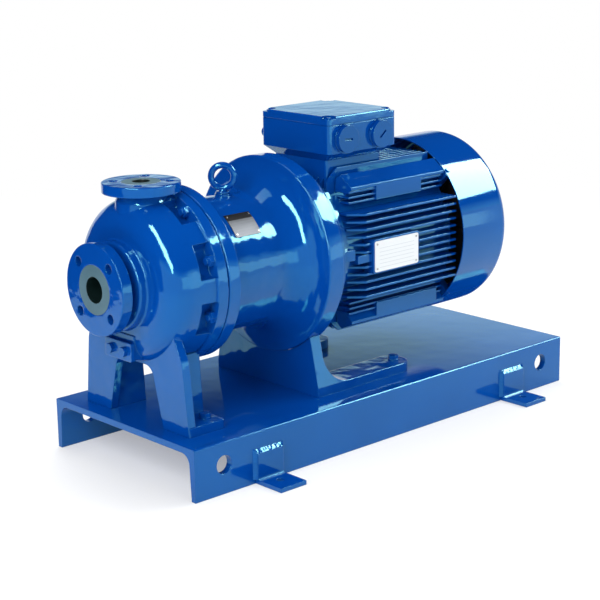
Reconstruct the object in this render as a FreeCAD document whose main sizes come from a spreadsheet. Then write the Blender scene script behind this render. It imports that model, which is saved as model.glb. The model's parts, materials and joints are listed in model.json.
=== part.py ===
import FreeCAD, Part
import math
import os
from types import SimpleNamespace

import Sketcher

# Magnetic drive pump on a channel bedplate, with its flange motor.
# X runs along the shaft from the suction end to the fan end, Z is up.
# The origin is on the floor under the middle of the whole machine.

# Driving dimensions in millimetres, angles in degrees
sizes = {
    # Bedplate, a channel with its web on top
    "base_length": 986.0,
    "base_width": 410.0,
    "base_height": 95.8,
    "web_thickness": 12.0,
    "toe_thickness": 11.0,
    "root_thickness": 15.0,
    "root_radius": 20.0,
    "edge_radius": 3.0,
    "base_overhang": 45.5,
    "lifting_hole_diameter": 34.0,
    "lifting_hole_inset": 65.5,
    "lifting_hole_height": 54.0,
    # Welded floor lugs
    "lug_width": 60.0,
    "lug_reach": 67.0,
    "lug_height": 57.0,
    "lug_thickness": 8.0,
    "lug_hole_diameter": 14.0,
    "lug_hole_reach": 32.0,
    "front_lug_inset": 166.5,
    "rear_lug_inset": 158.0,
    "weld_leg": 6.0,
    # Height of the shaft axis over the bedplate
    "axis_rise": 253.4,
    # Pipe flanges of the casing
    "suction_flange_diameter": 165.0,
    "suction_flange_thickness": 22.0,
    "suction_bolt_circle": 125.0,
    "discharge_flange_diameter": 140.0,
    "discharge_flange_thickness": 18.0,
    "discharge_bolt_circle": 100.0,
    "flange_hole_diameter": 18.0,
    "discharge_x": 110.0,
    "discharge_reach": 176.6,
    # Casing shell
    "neck_diameter": 110.0,
    "collar_diameter": 160.0,
    "collar_x": 38.0,
    "dome_x": 56.0,
    "dome_radius": 146.0,
    "dome_rounding": 52.0,
    "casing_ring_x": 148.0,
    "casing_ring_diameter": 316.0,
    "parting_x": 172.0,
    "parting_gap": 2.0,
    "casing_bore_diameter": 236.0,
    "casing_front_wall_x": 74.0,
    "discharge_neck_diameter": 84.0,
    "clamp_recess_diameter": 276.0,
    "clamp_recess_depth": 12.0,
    "pocket_x": 118.0,
    "pocket_floor_radius": 134.0,
    "pocket_width": 56.0,
    # Casing legs
    "leg_x": 79.0,
    "leg_plate": 16.0,
    "leg_foot_outside": 151.0,
    "leg_foot_inside": 78.0,
    "leg_knee_outside": 137.0,
    "leg_knee_drop": 121.0,
    "leg_side_plate": 14.0,
    "leg_depth": 81.0,
    "pad_thickness": 17.0,
    "arch_half_width": 50.0,
    "arch_drop": 144.0,
    "arch_radius": 22.0,
    "foot_bolt_x": 139.0,
    "foot_bolt_y": 121.0,
    # Drain cover under the suction neck
    "drain_cover_width": 76.0,
    "drain_cover_height": 34.0,
    "drain_cover_drop": 99.0,
    "drain_cover_x": 45.0,
    "drain_cover_thickness": 8.0,
    "drain_screw_radius": 9.0,
    "drain_screw_head": 7.0,
    # Plastic lining
    "suction_bore_diameter": 47.0,
    "suction_face_diameter": 89.0,
    "discharge_bore_diameter": 32.0,
    "discharge_face_diameter": 69.0,
    "lining_face_thickness": 4.0,
    "lining_wall": 5.0,
    "eye_diameter": 64.0,
    "eye_x": 52.0,
    "clearance": 0.1,
    "running_fit": 0.05,
    # Impeller and its shaft
    "impeller_diameter": 168.0,
    "impeller_eye_diameter": 60.0,
    "outlet_width": 10.0,
    "blade_count": 6.0,
    "blade_thickness": 4.0,
    "hub_diameter": 88.0,
    "hub_end_x": 150.0,
    "stationary_shaft_diameter": 32.0,
    "bush_outside_diameter": 50.0,
    "shaft_support_x": 54.0,
    "thrust_ring_x": 96.0,
    "thrust_ring_width": 10.0,
    # Magnets and can
    "inner_rotor_diameter": 116.0,
    "inner_rotor_end_x": 286.0,
    "magnet_start_x": 190.0,
    "magnet_length": 85.0,
    "magnet_count": 8.0,
    "inner_magnet_thickness": 7.5,
    "can_bore_diameter": 121.0,
    "can_lining_wall": 3.5,
    "can_wall": 5.0,
    "can_end_x": 305.0,
    "outer_magnet_bore": 146.0,
    "outer_magnet_thickness": 8.0,
    "outer_rotor_diameter": 188.0,
    "outer_rotor_x": 182.0,
    "outer_rotor_back_x": 315.0,
    "outer_rotor_hub_diameter": 84.0,
    # Lantern
    "lantern_flange_x": 200.0,
    "lantern_diameter": 250.0,
    "lantern_wall": 9.0,
    "lantern_disc_diameter": 374.0,
    "lantern_disc_x": 386.0,
    "lantern_flare": 58.0,
    "motor_flange_x": 422.0,
    "pilot_diameter": 250.0,
    "pilot_depth": 5.0,
    "casing_screw_circle": 294.0,
    "casing_screw_diameter": 12.0,
    # Lantern foot
    "foot_x": 392.0,
    "foot_plate": 16.0,
    "foot_arm_depth": 24.0,
    "foot_length": 258.0,
    "foot_slab": 18.0,
    "foot_washer_radius": 11.0,
    "foot_washer_thickness": 2.0,
    "foot_hexagon_radius": 10.5,
    "foot_head_height": 7.5,
    "foot_nut_height": 10.0,
    "foot_shank_drop": 14.0,
    "foot_outside": 145.0,
    "foot_top_outside": 118.0,
    "foot_inside": 80.0,
    "foot_fillet": 56.0,
    "lantern_bolt_inset": 25.0,
    # Eyebolt
    "eyebolt_x": 295.0,
    "eye_ring_diameter": 42.0,
    "eye_wire": 12.0,
    "eye_rise": 35.0,
    # Pump plate on the lantern
    "pump_plate_x": 237.0,
    "pump_plate_length": 58.0,
    "pump_plate_start": 33.5,
    "pump_plate_sweep": 22.5,
    "plate_thickness": 1.0,
    # Motor
    "motor_flange_diameter": 350.0,
    "motor_flange_thickness": 15.0,
    "motor_flange_bolt_circle": 322.0,
    "motor_flange_bolt_diameter": 16.0,
    "motor_flange_screw_head": 10.0,
    "motor_flange_screw_grip": 36.0,
    "frame_x": 478.0,
    "frame_end_x": 755.0,
    "frame_diameter": 274.0,
    "stator_diameter": 250.0,
    "fin_pitch": 14.3,
    "fin_thickness": 4.0,
    "fin_reach": 158.0,
    "fin_taper": 28.0,
    "corner_fin_pitch": 10.0,
    "corner_fin_start": 96.5,
    "corner_fin_thickness": 3.5,
    "corner_fin_reach": 122.0,
    "corner_pad_x": 567.0,
    "corner_pad_length": 123.0,
    "corner_pad_reach": 125.0,
    "upper_pad_low": 94.0,
    "upper_pad_high": 126.0,
    "lower_pad_length": 168.0,
    "lower_pad_low": 106.0,
    "lower_pad_high": 137.0,
    "shoulder_x": 500.0,
    "shoulder_inside": 97.0,
    "upper_shoulder_height": 147.0,
    "lower_shoulder_height": 150.0,
    "side_boss_low": -12.0,
    "side_boss_high": 3.0,
    "air_gap_diameter": 160.0,
    "core_x": 520.0,
    "core_length": 180.0,
    "winding_overhang": 28.0,
    "shaft_diameter": 42.0,
    "shaft_start_x": 329.0,
    "shaft_core_diameter": 54.0,
    "bearing_bore": 45.0,
    "bearing_outside_diameter": 100.0,
    "bearing_width": 25.0,
    "drive_bearing_x": 441.0,
    "fan_bearing_x": 738.0,
    "fan_seat_diameter": 38.0,
    "shaft_end_x": 832.0,
    # Fan and cowl
    "fan_x": 795.0,
    "fan_diameter": 316.0,
    "fan_width": 40.0,
    "fan_blade_count": 8.0,
    "cowl_x": 757.0,
    "cowl_end_x": 890.0,
    "cowl_diameter": 354.0,
    "cowl_wall": 2.0,
    "grille_start": 34.0,
    "grille_pitch": 20.0,
    "grille_slot": 12.0,
    "grille_rib": 5.0,
    "cowl_rounding": 18.0,
    # Terminal box
    "box_x": 474.0,
    "box_length": 178.0,
    "box_width": 188.0,
    "box_low": 187.0,
    "box_lid_line": 240.0,
    "box_high": 257.0,
    "box_wall": 6.0,
    "box_foot_low": 172.0,
    "box_foot_inset": 13.0,
    "box_foot_length": 144.0,
    "box_foot_width": 144.0,
    "lid_corner_radius": 13.0,
    "lid_corner_depth": 5.0,
    "gasket_thickness": 1.5,
    "plug_diameter": 52.0,
    "plug_hole_diameter": 40.0,
    "plug_inset": 42.0,
    "plug_spacing": 90.0,
    "rear_plug_inset": 30.0,
    "rear_plug_rise": 20.0,
    "rear_plug_radius": 8.0,
    "terminal_spacing": 26.0,
    "terminal_row": 14.0,
    "board_length": 88.0,
    "board_width": 52.0,
    "board_thickness": 12.0,
    "terminal_stud_length": 20.0,
    "plug_height": 213.0,
    # Motor plate
    "motor_plate_x": 523.0,
    "motor_plate_length": 117.0,
    "motor_plate_height": 59.0,
    "motor_plate_low": -33.0,
    "motor_plate_y": 165.0,
}

document = FreeCAD.newDocument("magnetic_drive_pump")
sheet = document.addObject("Spreadsheet::Sheet", "sizes")
for row, (word, number) in enumerate(sizes.items(), 1):
    sheet.set(f"A{row}", word)
    sheet.set(f"B{row}", str(number))
    sheet.setAlias(f"B{row}", word)
document.recompute()


class Size:
    """A length that knows its number and the sheet formula it comes from."""

    def __init__(self, number, formula):
        self.number = number
        self.formula = formula

    def __add__(self, other):
        other = as_size(other)
        return Size(self.number + other.number, f"({self.formula} + {other.formula})")

    def __sub__(self, other):
        other = as_size(other)
        return Size(self.number - other.number, f"({self.formula} - {other.formula})")

    def __mul__(self, other):
        other = as_size(other)
        return Size(self.number * other.number, f"({self.formula} * {other.formula})")

    def __truediv__(self, other):
        other = as_size(other)
        return Size(self.number / other.number, f"({self.formula} / {other.formula})")

    def __rtruediv__(self, other):
        return as_size(other) / self

    def __radd__(self, other):
        return as_size(other) + self

    def __rsub__(self, other):
        return as_size(other) - self

    def __rmul__(self, other):
        return as_size(other) * self

    def __neg__(self):
        return Size(-self.number, f"(0 - {self.formula})")


def as_size(thing):
    if isinstance(thing, Size):
        return thing
    return Size(float(thing), f"{float(thing):.9f}")


dim = SimpleNamespace(**{word: Size(number, f"sizes.{word}") for word, number in sizes.items()})

# Places that follow from the driving dimensions
front_x = -(dim.base_overhang + dim.base_length) / 2
axis_z = dim.base_height + dim.axis_rise
side_y = dim.base_width / 2


def bind(thing, target, size):
    thing.setExpression(target, as_size(size).formula)


def new_body(name, x=0, y=0, z=0, group=False):
    body = document.addObject("PartDesign::Body", name)
    body.Label = name
    body.AllowCompound = group
    for letter, place in (("x", x), ("y", y), ("z", z)):
        bind(body, f"Placement.Base.{letter}", place)
    return body


def machine_body(name, group=False):
    # Origin on the shaft axis in the face of the suction flange
    return new_body(name, front_x, 0, axis_z, group)


def new_sketch(body, plane, shift=0, along=0, up=0):
    # shift moves the sketch along its normal, along and up move it in its plane
    sketch = body.newObject("Sketcher::SketchObject", f"{body.Name}_sketch{len(body.Group)}")
    support = [feature for feature in body.Origin.OriginFeatures if feature.Role == plane]
    sketch.AttachmentSupport = [(support[0], "")]
    sketch.MapMode = "FlatFace"
    for letter, place in (("x", along), ("y", up), ("z", shift)):
        bind(sketch, f"AttachmentOffset.Base.{letter}", place)
    return sketch


def fix_point(sketch, geometry, position, across, up):
    for kind, size in (("DistanceX", across), ("DistanceY", up)):
        rule = Sketcher.Constraint(kind, -1, 1, geometry, position, as_size(size).number)
        index = sketch.addConstraint(rule)
        bind(sketch, f"Constraints[{index}]", size)


def circle(sketch, across, up, radius):
    across, up, radius = as_size(across), as_size(up), as_size(radius)
    centre = FreeCAD.Vector(across.number, up.number, 0)
    ring = sketch.addGeometry(Part.Circle(centre, FreeCAD.Vector(0, 0, 1), radius.number), False)
    fix_point(sketch, ring, 3, across, up)
    index = sketch.addConstraint(Sketcher.Constraint("Radius", ring, radius.number))
    bind(sketch, f"Constraints[{index}]", radius)


def outline(sketch, corners):
    # Closed outline through corners (across, up) or (across, up, rounding radius)
    points = [(as_size(corner[0]), as_size(corner[1])) for corner in corners]
    rounds = [as_size(corner[2]) if len(corner) > 2 else None for corner in corners]
    spots = [FreeCAD.Vector(across.number, up.number, 0) for across, up in points]
    count = len(spots)
    enters = []
    leaves = []
    for index, spot in enumerate(spots):
        back = (spots[index - 1] - spot).normalize()
        ahead = (spots[(index + 1) % count] - spot).normalize()
        if rounds[index] is None:
            enters.append(spot)
            leaves.append(spot)
        else:
            cut = rounds[index].number / math.tan(back.getAngle(ahead) / 2)
            enters.append(spot + back * cut)
            leaves.append(spot + ahead * cut)
    lines = []
    for index in range(count):
        line = Part.LineSegment(leaves[index], enters[(index + 1) % count])
        lines.append(sketch.addGeometry(line, False))
    for index, spot in enumerate(spots):
        before, after = lines[index - 1], lines[index]
        if rounds[index] is None:
            sketch.addConstraint(Sketcher.Constraint("Coincident", before, 2, after, 1))
            fix_point(sketch, after, 1, *points[index])
            continue
        round_corner(sketch, spot, enters[index], leaves[index], rounds[index], before, after, points[index])


def round_corner(sketch, spot, enter, leave, radius, before, after, point):
    middle = (enter + leave) * 0.5
    reach = math.hypot(radius.number, (enter - spot).Length)
    centre = spot + (middle - spot).normalize() * reach
    left_turn = (spot - enter).cross(leave - spot).z > 0
    first, last = (enter, leave) if left_turn else (leave, enter)
    start = math.atan2(first.y - centre.y, first.x - centre.x)
    stop = math.atan2(last.y - centre.y, last.x - centre.x)
    ring = Part.Circle(centre, FreeCAD.Vector(0, 0, 1), radius.number)
    arc = sketch.addGeometry(Part.ArcOfCircle(ring, start, stop), False)
    mark = sketch.addGeometry(Part.Point(spot), True)
    enter_end, leave_end = (1, 2) if left_turn else (2, 1)
    sketch.addConstraint([
        Sketcher.Constraint("Tangent", before, 2, arc, enter_end),
        Sketcher.Constraint("Tangent", after, 1, arc, leave_end),
        Sketcher.Constraint("PointOnObject", mark, 1, before),
        Sketcher.Constraint("PointOnObject", mark, 1, after),
    ])
    fix_point(sketch, mark, 1, *point)
    index = sketch.addConstraint(Sketcher.Constraint("Radius", arc, radius.number))
    bind(sketch, f"Constraints[{index}]", radius)


def add_feature(body, kind, sketch):
    feature = body.newObject(f"PartDesign::{kind}", f"{body.Name}_{kind.lower()}{len(body.Group)}")
    feature.Profile = sketch
    feature.Refine = True
    sketch.Visibility = False
    return feature


def pad(body, sketch, length, centred=False, reverse=False):
    feature = add_feature(body, "Pad", sketch)
    bind(feature, "Length", length)
    feature.SideType = "Symmetric" if centred else "One side"
    feature.Reversed = reverse
    return finish(body, feature, 1)


def pocket(body, sketch, length, centred=False, reverse=False):
    feature = add_feature(body, "Pocket", sketch)
    bind(feature, "Length", length)
    feature.SideType = "Symmetric" if centred else "One side"
    feature.Reversed = reverse
    return finish(body, feature, -1)


def revolve(body, sketch, axis="H_Axis"):
    feature = add_feature(body, "Revolution", sketch)
    feature.ReferenceAxis = (sketch, [axis])
    return finish(body, feature, 1)


def groove(body, sketch, axis="H_Axis"):
    feature = add_feature(body, "Groove", sketch)
    feature.ReferenceAxis = (sketch, [axis])
    return finish(body, feature, -1)


def finish(body, feature, sign):
    # Each feature has to add or take material
    before = volume_of(body)
    body.Tip = feature
    document.recompute()
    if (volume_of(body) - before) * sign <= 0:
        raise ValueError(f"{feature.Name} changed nothing")
    return feature


def volume_of(body):
    if body.Shape.isNull():
        return 0
    return body.Shape.Volume


def repeat_round(body, features, count, axis="X_Axis"):
    pattern = body.newObject("PartDesign::PolarPattern", f"{body.Name}_pattern{len(body.Group)}")
    pattern.Originals = features
    turn_axis = [feature for feature in body.Origin.OriginFeatures if feature.Role == axis]
    pattern.Axis = (turn_axis[0], [""])
    pattern.Angle = 360
    pattern.Occurrences = count
    body.Tip = pattern
    document.recompute()
    return pattern


flange_angles = (45, 135, 225, 315)
cowl_angles = (45, 135, 225, 315)
screw_angles = (-163, -110, -70, -30, 30, 70, 110, 163)
eyebolt_shank = as_size(6)
foot_bolt = as_size(6)
cowl_screw = as_size(3)
bolt_play = as_size(1)
side_fins = 12
top_fins = 12
corner_fin_count = 3
grille_rings = 5
slot_angles = (-4, 40)


def base_channel():
    body = new_body("base_channel", front_x + dim.base_overhang)
    section = new_sketch(body, "YZ_Plane")
    inside = side_y - dim.toe_thickness
    root = side_y - dim.root_thickness
    under = dim.base_height - dim.web_thickness
    outline(section, [
        (-side_y, 0), (-inside, 0), (-root, under, dim.root_radius), (root, under, dim.root_radius),
        (inside, 0), (side_y, 0), (side_y, dim.base_height, dim.edge_radius),
        (-side_y, dim.base_height, dim.edge_radius),
    ])
    pad(body, section, dim.base_length)
    holes = new_sketch(body, "XZ_Plane")
    for place in (dim.lifting_hole_inset, dim.base_length - dim.lifting_hole_inset):
        circle(holes, place, dim.lifting_hole_height, dim.lifting_hole_diameter / 2)
    pocket(body, holes, dim.base_width * 2, centred=True)
    bolts = new_sketch(body, "XY_Plane", dim.base_height)
    for along, across, _ in foot_places():
        circle(bolts, along - dim.base_overhang, across, foot_bolt + bolt_play)
    pocket(body, bolts, dim.web_thickness * 1.5)


def arc_band(sketch, across, up, inner, outer, start, stop):
    # Closed band between two arcs about one centre, start and stop are angles
    across, up, inner, outer = (as_size(size) for size in (across, up, inner, outer))
    start, stop = as_size(start), as_size(stop)
    centre = FreeCAD.Vector(across.number, up.number, 0)
    first, last = math.radians(start.number), math.radians(stop.number)
    rings = []
    for radius in (inner, outer):
        ring = Part.Circle(centre, FreeCAD.Vector(0, 0, 1), radius.number)
        rings.append(sketch.addGeometry(Part.ArcOfCircle(ring, first, last), False))
    near, far = rings
    fix_point(sketch, near, 3, across, up)
    sketch.addConstraint(Sketcher.Constraint("Coincident", far, 3, near, 3))
    for ring, radius in ((near, inner), (far, outer)):
        index = sketch.addConstraint(Sketcher.Constraint("Radius", ring, radius.number))
        bind(sketch, f"Constraints[{index}]", radius)
    for angle, end in ((start, 1), (stop, 2)):
        turn = math.radians(angle.number)
        ray = FreeCAD.Vector(math.cos(turn), math.sin(turn), 0)
        line = Part.LineSegment(centre + ray * inner.number, centre + ray * outer.number)
        edge = sketch.addGeometry(line, False)
        sketch.addConstraint([
            Sketcher.Constraint("Coincident", edge, 1, near, end),
            Sketcher.Constraint("Coincident", edge, 2, far, end),
            Sketcher.Constraint("PointOnObject", near, 3, edge),
        ])
        index = sketch.addConstraint(Sketcher.Constraint("Angle", edge, turn))
        bind(sketch, f"Constraints[{index}]", angle)


def box_outline(sketch, left, right, low, high, rounding=None):
    corners = [(left, low), (right, low), (right, high), (left, high)]
    if rounding is not None:
        corners = [corner + (rounding,) for corner in corners]
    outline(sketch, corners)


def ordered(first, second):
    return sorted((as_size(first), as_size(second)), key=lambda size: size.number)


def hexagon(sketch, across, up, radius):
    outline(sketch, [
        (across + radius * math.cos(math.radians(60 * side)), up + radius * math.sin(math.radians(60 * side)))
        for side in range(6)
    ])


def around(radius, angle):
    # Point on a circle, the angle counted from the top towards the left side
    return radius * math.sin(math.radians(angle)), radius * math.cos(math.radians(angle))


def lug_places():
    for along in (dim.front_lug_inset, dim.base_length - dim.rear_lug_inset):
        for side in (-1, 1):
            yield along, side


def base_lugs():
    body = new_body("base_lugs", front_x + dim.base_overhang, group=True)
    for along, side in lug_places():
        section = new_sketch(body, "YZ_Plane", along)
        wall = side_y + dim.lug_thickness
        corners = [
            (side_y, 0), (side_y + dim.lug_reach, 0), (side_y + dim.lug_reach, dim.lug_thickness),
            (wall, dim.lug_thickness, dim.lug_thickness / 2), (wall, dim.lug_height),
            (side_y, dim.lug_height),
        ]
        outline(section, [(corner[0] * side,) + corner[1:] for corner in corners])
        pad(body, section, dim.lug_width, centred=True)
    holes = new_sketch(body, "XY_Plane")
    for along, side in lug_places():
        circle(holes, along, (side_y + dim.lug_hole_reach) * side, dim.lug_hole_diameter / 2)
    pocket(body, holes, dim.lug_height, centred=True)


def weld_beads():
    # A fillet weld along the top and both ends of each lug
    body = new_body("weld_beads", front_x + dim.base_overhang, group=True)
    leg = dim.weld_leg
    half = dim.lug_width / 2
    for along, side in lug_places():
        top = new_sketch(body, "YZ_Plane", along)
        outline(top, [
            (side_y * side, dim.lug_height), ((side_y + leg) * side, dim.lug_height),
            (side_y * side, dim.lug_height + leg),
        ])
        pad(body, top, dim.lug_width, centred=True)
        for end in (-1, 1):
            edge = new_sketch(body, "XY_Plane", dim.lug_thickness)
            outline(edge, [
                (along + half * end, side_y * side), (along + (half + leg) * end, side_y * side),
                (along + half * end, (side_y + leg) * side),
            ])
            pad(body, edge, dim.lug_height + leg - dim.lug_thickness)


def volute_casing():
    body = machine_body("volute_casing")
    flange = dim.suction_flange_diameter / 2
    neck = dim.neck_diameter / 2
    collar = dim.collar_diameter / 2
    ring = dim.casing_ring_diameter / 2
    section = new_sketch(body, "XZ_Plane")
    outline(section, [
        (0, 0), (0, flange, 1.5), (dim.suction_flange_thickness, flange, 1.5),
        (dim.suction_flange_thickness, neck, 6), (dim.collar_x, neck, 4), (dim.collar_x, collar, 5),
        (dim.dome_x - 1, collar, 4), (dim.dome_x, dim.dome_radius, dim.dome_rounding),
        (dim.casing_ring_x, ring - 5),
        (dim.casing_ring_x, ring, 3), (dim.parting_x, ring, 2), (dim.parting_x, 0),
    ])
    revolve(body, section)
    pockets(body)
    discharge_neck(body)
    legs(body)
    drain_boss(body)
    casing_bores(body)
    casing_holes(body)


def pockets(body):
    # Deep pockets in the shoulder with rounded floors, each round one stud of the casing ring
    floor = dim.pocket_floor_radius
    half = dim.pocket_width / 2
    top = dim.casing_ring_diameter / 2 + 10
    sketches = new_sketch(body, "YZ_Plane", dim.pocket_x)
    for angle in screw_angles:
        sine, cosine = math.sin(math.radians(angle)), math.cos(math.radians(angle))
        corners = ((-half, floor), (half, floor), (half + 8, top), (-half - 8, top))
        points = [(across * cosine + up * sine, up * cosine - across * sine) for across, up in corners]
        outline(sketches, [points[0] + (12,), points[1] + (12,), points[2], points[3]])
    pocket(body, sketches, dim.casing_ring_x + 2 - dim.pocket_x, reverse=True)


def discharge_neck(body):
    neck = dim.discharge_neck_diameter / 2
    flange = dim.discharge_flange_diameter / 2
    under = dim.discharge_reach - dim.discharge_flange_thickness
    section = new_sketch(body, "XZ_Plane", 0, dim.discharge_x)
    outline(section, [
        (0, dim.casing_bore_diameter / 2 - 5), (neck + 6, dim.casing_bore_diameter / 2 - 5),
        (neck + 5, dim.dome_radius - 3, 8), (neck, under - 4, 6), (neck, under),
        (flange, under, 1.5), (flange, dim.discharge_reach, 1.5), (0, dim.discharge_reach),
    ])
    revolve(body, section, "V_Axis")


def legs(body):
    # A front plate with an arch, and a side plate and a pad on each leg
    plate = new_sketch(body, "YZ_Plane", dim.leg_x)
    floor = -dim.axis_rise
    inside, outside = dim.leg_foot_inside, dim.leg_foot_outside
    knee, knee_z = dim.leg_knee_outside, -dim.leg_knee_drop
    arch, arch_z = dim.arch_half_width, -dim.arch_drop
    outline(plate, [
        (-outside, floor), (-inside, floor),
        (-arch, arch_z, dim.arch_radius), (arch, arch_z, dim.arch_radius),
        (inside, floor), (outside, floor), (knee, knee_z, 60), (knee - 24, knee_z + 48),
        (24 - knee, knee_z + 48), (-knee, knee_z, 60),
    ])
    pad(body, plate, dim.leg_plate)
    for side in (-1, 1):
        flank = new_sketch(body, "XZ_Plane", -dim.leg_foot_inside * side)
        rear = dim.leg_x + dim.leg_depth
        outline(flank, [
            (dim.leg_x, floor), (rear, floor), (rear - 6, -dim.casing_bore_diameter / 2 - 6),
            (dim.leg_x, -dim.casing_bore_diameter / 2 - 6),
        ])
        pad(body, flank, dim.leg_side_plate, reverse=side > 0)
    pads = new_sketch(body, "XY_Plane", floor)
    for side in (-1, 1):
        low, high = ordered(inside * side, outside * side)
        box_outline(pads, dim.leg_x, rear, low, high, 5)
    pad(body, pads, dim.pad_thickness)


def drain_boss(body):
    boss = new_sketch(body, "YZ_Plane", dim.drain_cover_x + dim.drain_cover_thickness)
    half = dim.drain_cover_width / 2
    low = -dim.drain_cover_drop - dim.drain_cover_height
    box_outline(boss, 2 - half, half - 2, low + 2, -dim.collar_diameter / 2 - 7)
    pad(body, boss, dim.leg_x - dim.drain_cover_x)


def casing_bores(body):
    bore = dim.casing_bore_diameter / 2
    face = dim.suction_face_diameter / 2 + dim.clearance
    tube = dim.suction_bore_diameter / 2 + dim.lining_wall + dim.clearance
    eye = dim.eye_diameter / 2 + dim.lining_wall + dim.clearance
    recess = dim.clamp_recess_diameter / 2
    section = new_sketch(body, "XZ_Plane")
    outline(section, [
        (0, 0), (0, face), (dim.lining_face_thickness, face), (dim.lining_face_thickness, tube),
        (dim.eye_x - 12, tube), (dim.eye_x, eye), (dim.casing_front_wall_x, eye),
        (dim.casing_front_wall_x, bore - 22, 14),
        (dim.casing_front_wall_x + 18, bore, 12), (dim.parting_x - dim.clamp_recess_depth, bore),
        (dim.parting_x - dim.clamp_recess_depth, recess), (dim.parting_x, recess), (dim.parting_x, 0),
    ])
    groove(body, section)
    outlet = new_sketch(body, "XZ_Plane", 0, dim.discharge_x)
    face = dim.discharge_face_diameter / 2 + dim.clearance
    tube = dim.discharge_bore_diameter / 2 + dim.lining_wall + dim.clearance
    seat = dim.discharge_reach - dim.lining_face_thickness
    outline(outlet, [
        (0, bore - 25), (tube, bore - 25), (tube, seat), (face, seat),
        (face, dim.discharge_reach), (0, dim.discharge_reach),
    ])
    groove(body, outlet, "V_Axis")


def casing_holes(body):
    suction = new_sketch(body, "YZ_Plane")
    discharge = new_sketch(body, "XY_Plane", dim.discharge_reach)
    for angle in (45, 135, 225, 315):
        across, up = around(dim.suction_bolt_circle / 2, angle)
        circle(suction, across, up, dim.flange_hole_diameter / 2)
        across, up = around(dim.discharge_bolt_circle / 2, angle)
        circle(discharge, dim.discharge_x + across, up, dim.flange_hole_diameter / 2)
    pocket(body, suction, dim.suction_flange_thickness, reverse=True)
    pocket(body, discharge, dim.discharge_flange_thickness)
    studs = new_sketch(body, "YZ_Plane", dim.parting_x)
    for angle in screw_angles:
        across, up = around(dim.casing_screw_circle / 2, angle)
        circle(studs, across, up, dim.casing_screw_diameter / 2 + 0.5)
    pocket(body, studs, dim.parting_x - dim.casing_ring_x)
    bolts = new_sketch(body, "XY_Plane", -dim.axis_rise)
    for side in (-1, 1):
        circle(bolts, dim.foot_bolt_x, dim.foot_bolt_y * side, foot_bolt + 1)
    pocket(body, bolts, dim.pad_thickness, reverse=True)


def casing_liner():
    body = machine_body("casing_liner")
    bore = dim.casing_bore_diameter / 2 - dim.clearance
    face = dim.suction_face_diameter / 2
    tube = dim.suction_bore_diameter / 2 + dim.lining_wall
    eye = dim.eye_diameter / 2 + dim.lining_wall
    clamp = dim.clamp_recess_diameter / 2 - dim.clearance
    clamp_x = dim.parting_x - dim.clamp_recess_depth
    section = new_sketch(body, "XZ_Plane")
    outline(section, [
        (0, 0), (0, face), (dim.lining_face_thickness, face), (dim.lining_face_thickness, tube),
        (dim.eye_x - 12, tube), (dim.eye_x, eye), (dim.casing_front_wall_x, eye),
        (dim.casing_front_wall_x, bore - 22, 14.5),
        (dim.casing_front_wall_x + 18, bore, 12.5), (clamp_x, bore), (clamp_x, clamp),
        (clamp_x + dim.lining_face_thickness, clamp), (clamp_x + dim.lining_face_thickness, 0),
    ])
    revolve(body, section)
    riser = new_sketch(body, "XZ_Plane", 0, dim.discharge_x)
    face = dim.discharge_face_diameter / 2
    tube = dim.discharge_bore_diameter / 2 + dim.lining_wall
    seat = dim.discharge_reach - dim.lining_face_thickness
    outline(riser, [
        (0, bore - 10), (tube, bore - 10), (tube, seat), (face, seat),
        (face, dim.discharge_reach), (0, dim.discharge_reach),
    ])
    revolve(body, riser, "V_Axis")
    wet_passages(body)


def wet_passages(body):
    # Suction bore, eye, impeller chamber and the spiral that grows towards the outlet
    bore = dim.suction_bore_diameter / 2
    eye = dim.eye_diameter / 2
    wheel = dim.impeller_diameter / 2
    face_x = dim.discharge_x - dim.outlet_width / 2 - 5
    back_x = dim.parting_x - dim.clamp_recess_depth + dim.lining_face_thickness
    chamber = dim.casing_bore_diameter / 2 - dim.lining_wall
    passage = new_sketch(body, "XZ_Plane")
    outline(passage, [
        (0, 0), (0, bore), (dim.eye_x - 10, bore), (dim.eye_x + 2, eye), (79, eye),
        (79, eye + 5), (face_x - 8, eye + 5), (face_x, wheel + 3), (dim.discharge_x + 14, wheel + 3),
        (dim.discharge_x + 14, chamber), (back_x, chamber), (back_x, 0),
    ])
    groove(body, passage)
    spiral = new_sketch(body, "YZ_Plane", dim.discharge_x - 12)
    outline(spiral, [
        (0, -wheel - 6, 80), (wheel + 10, -wheel - 6, 80), (wheel + 16, wheel, 70),
        (20, chamber - 4, 20), (-wheel + 2, chamber - 14, 70), (-wheel - 4, -wheel - 4, 80),
    ])
    pocket(body, spiral, 26, reverse=True)
    outlet = new_sketch(body, "XY_Plane", dim.discharge_reach)
    circle(outlet, dim.discharge_x, 0, dim.discharge_bore_diameter / 2)
    pocket(body, outlet, dim.discharge_reach - chamber + 15)


def drain_cover():
    body = machine_body("drain_cover")
    half = dim.drain_cover_width / 2
    low = -dim.drain_cover_drop - dim.drain_cover_height
    plate = new_sketch(body, "YZ_Plane", dim.drain_cover_x)
    box_outline(plate, -half, half, low, -dim.drain_cover_drop, 3)
    pad(body, plate, dim.drain_cover_thickness)


def drain_cover_screws():
    body = machine_body("drain_cover_screws", group=True)
    heads = new_sketch(body, "YZ_Plane", dim.drain_cover_x)
    middle = -dim.drain_cover_drop - dim.drain_cover_height / 2
    for side in (-1, 1):
        hexagon(heads, side * dim.drain_cover_width / 4, middle, dim.drain_screw_radius)
    pad(body, heads, dim.drain_screw_head, reverse=True)


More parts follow.
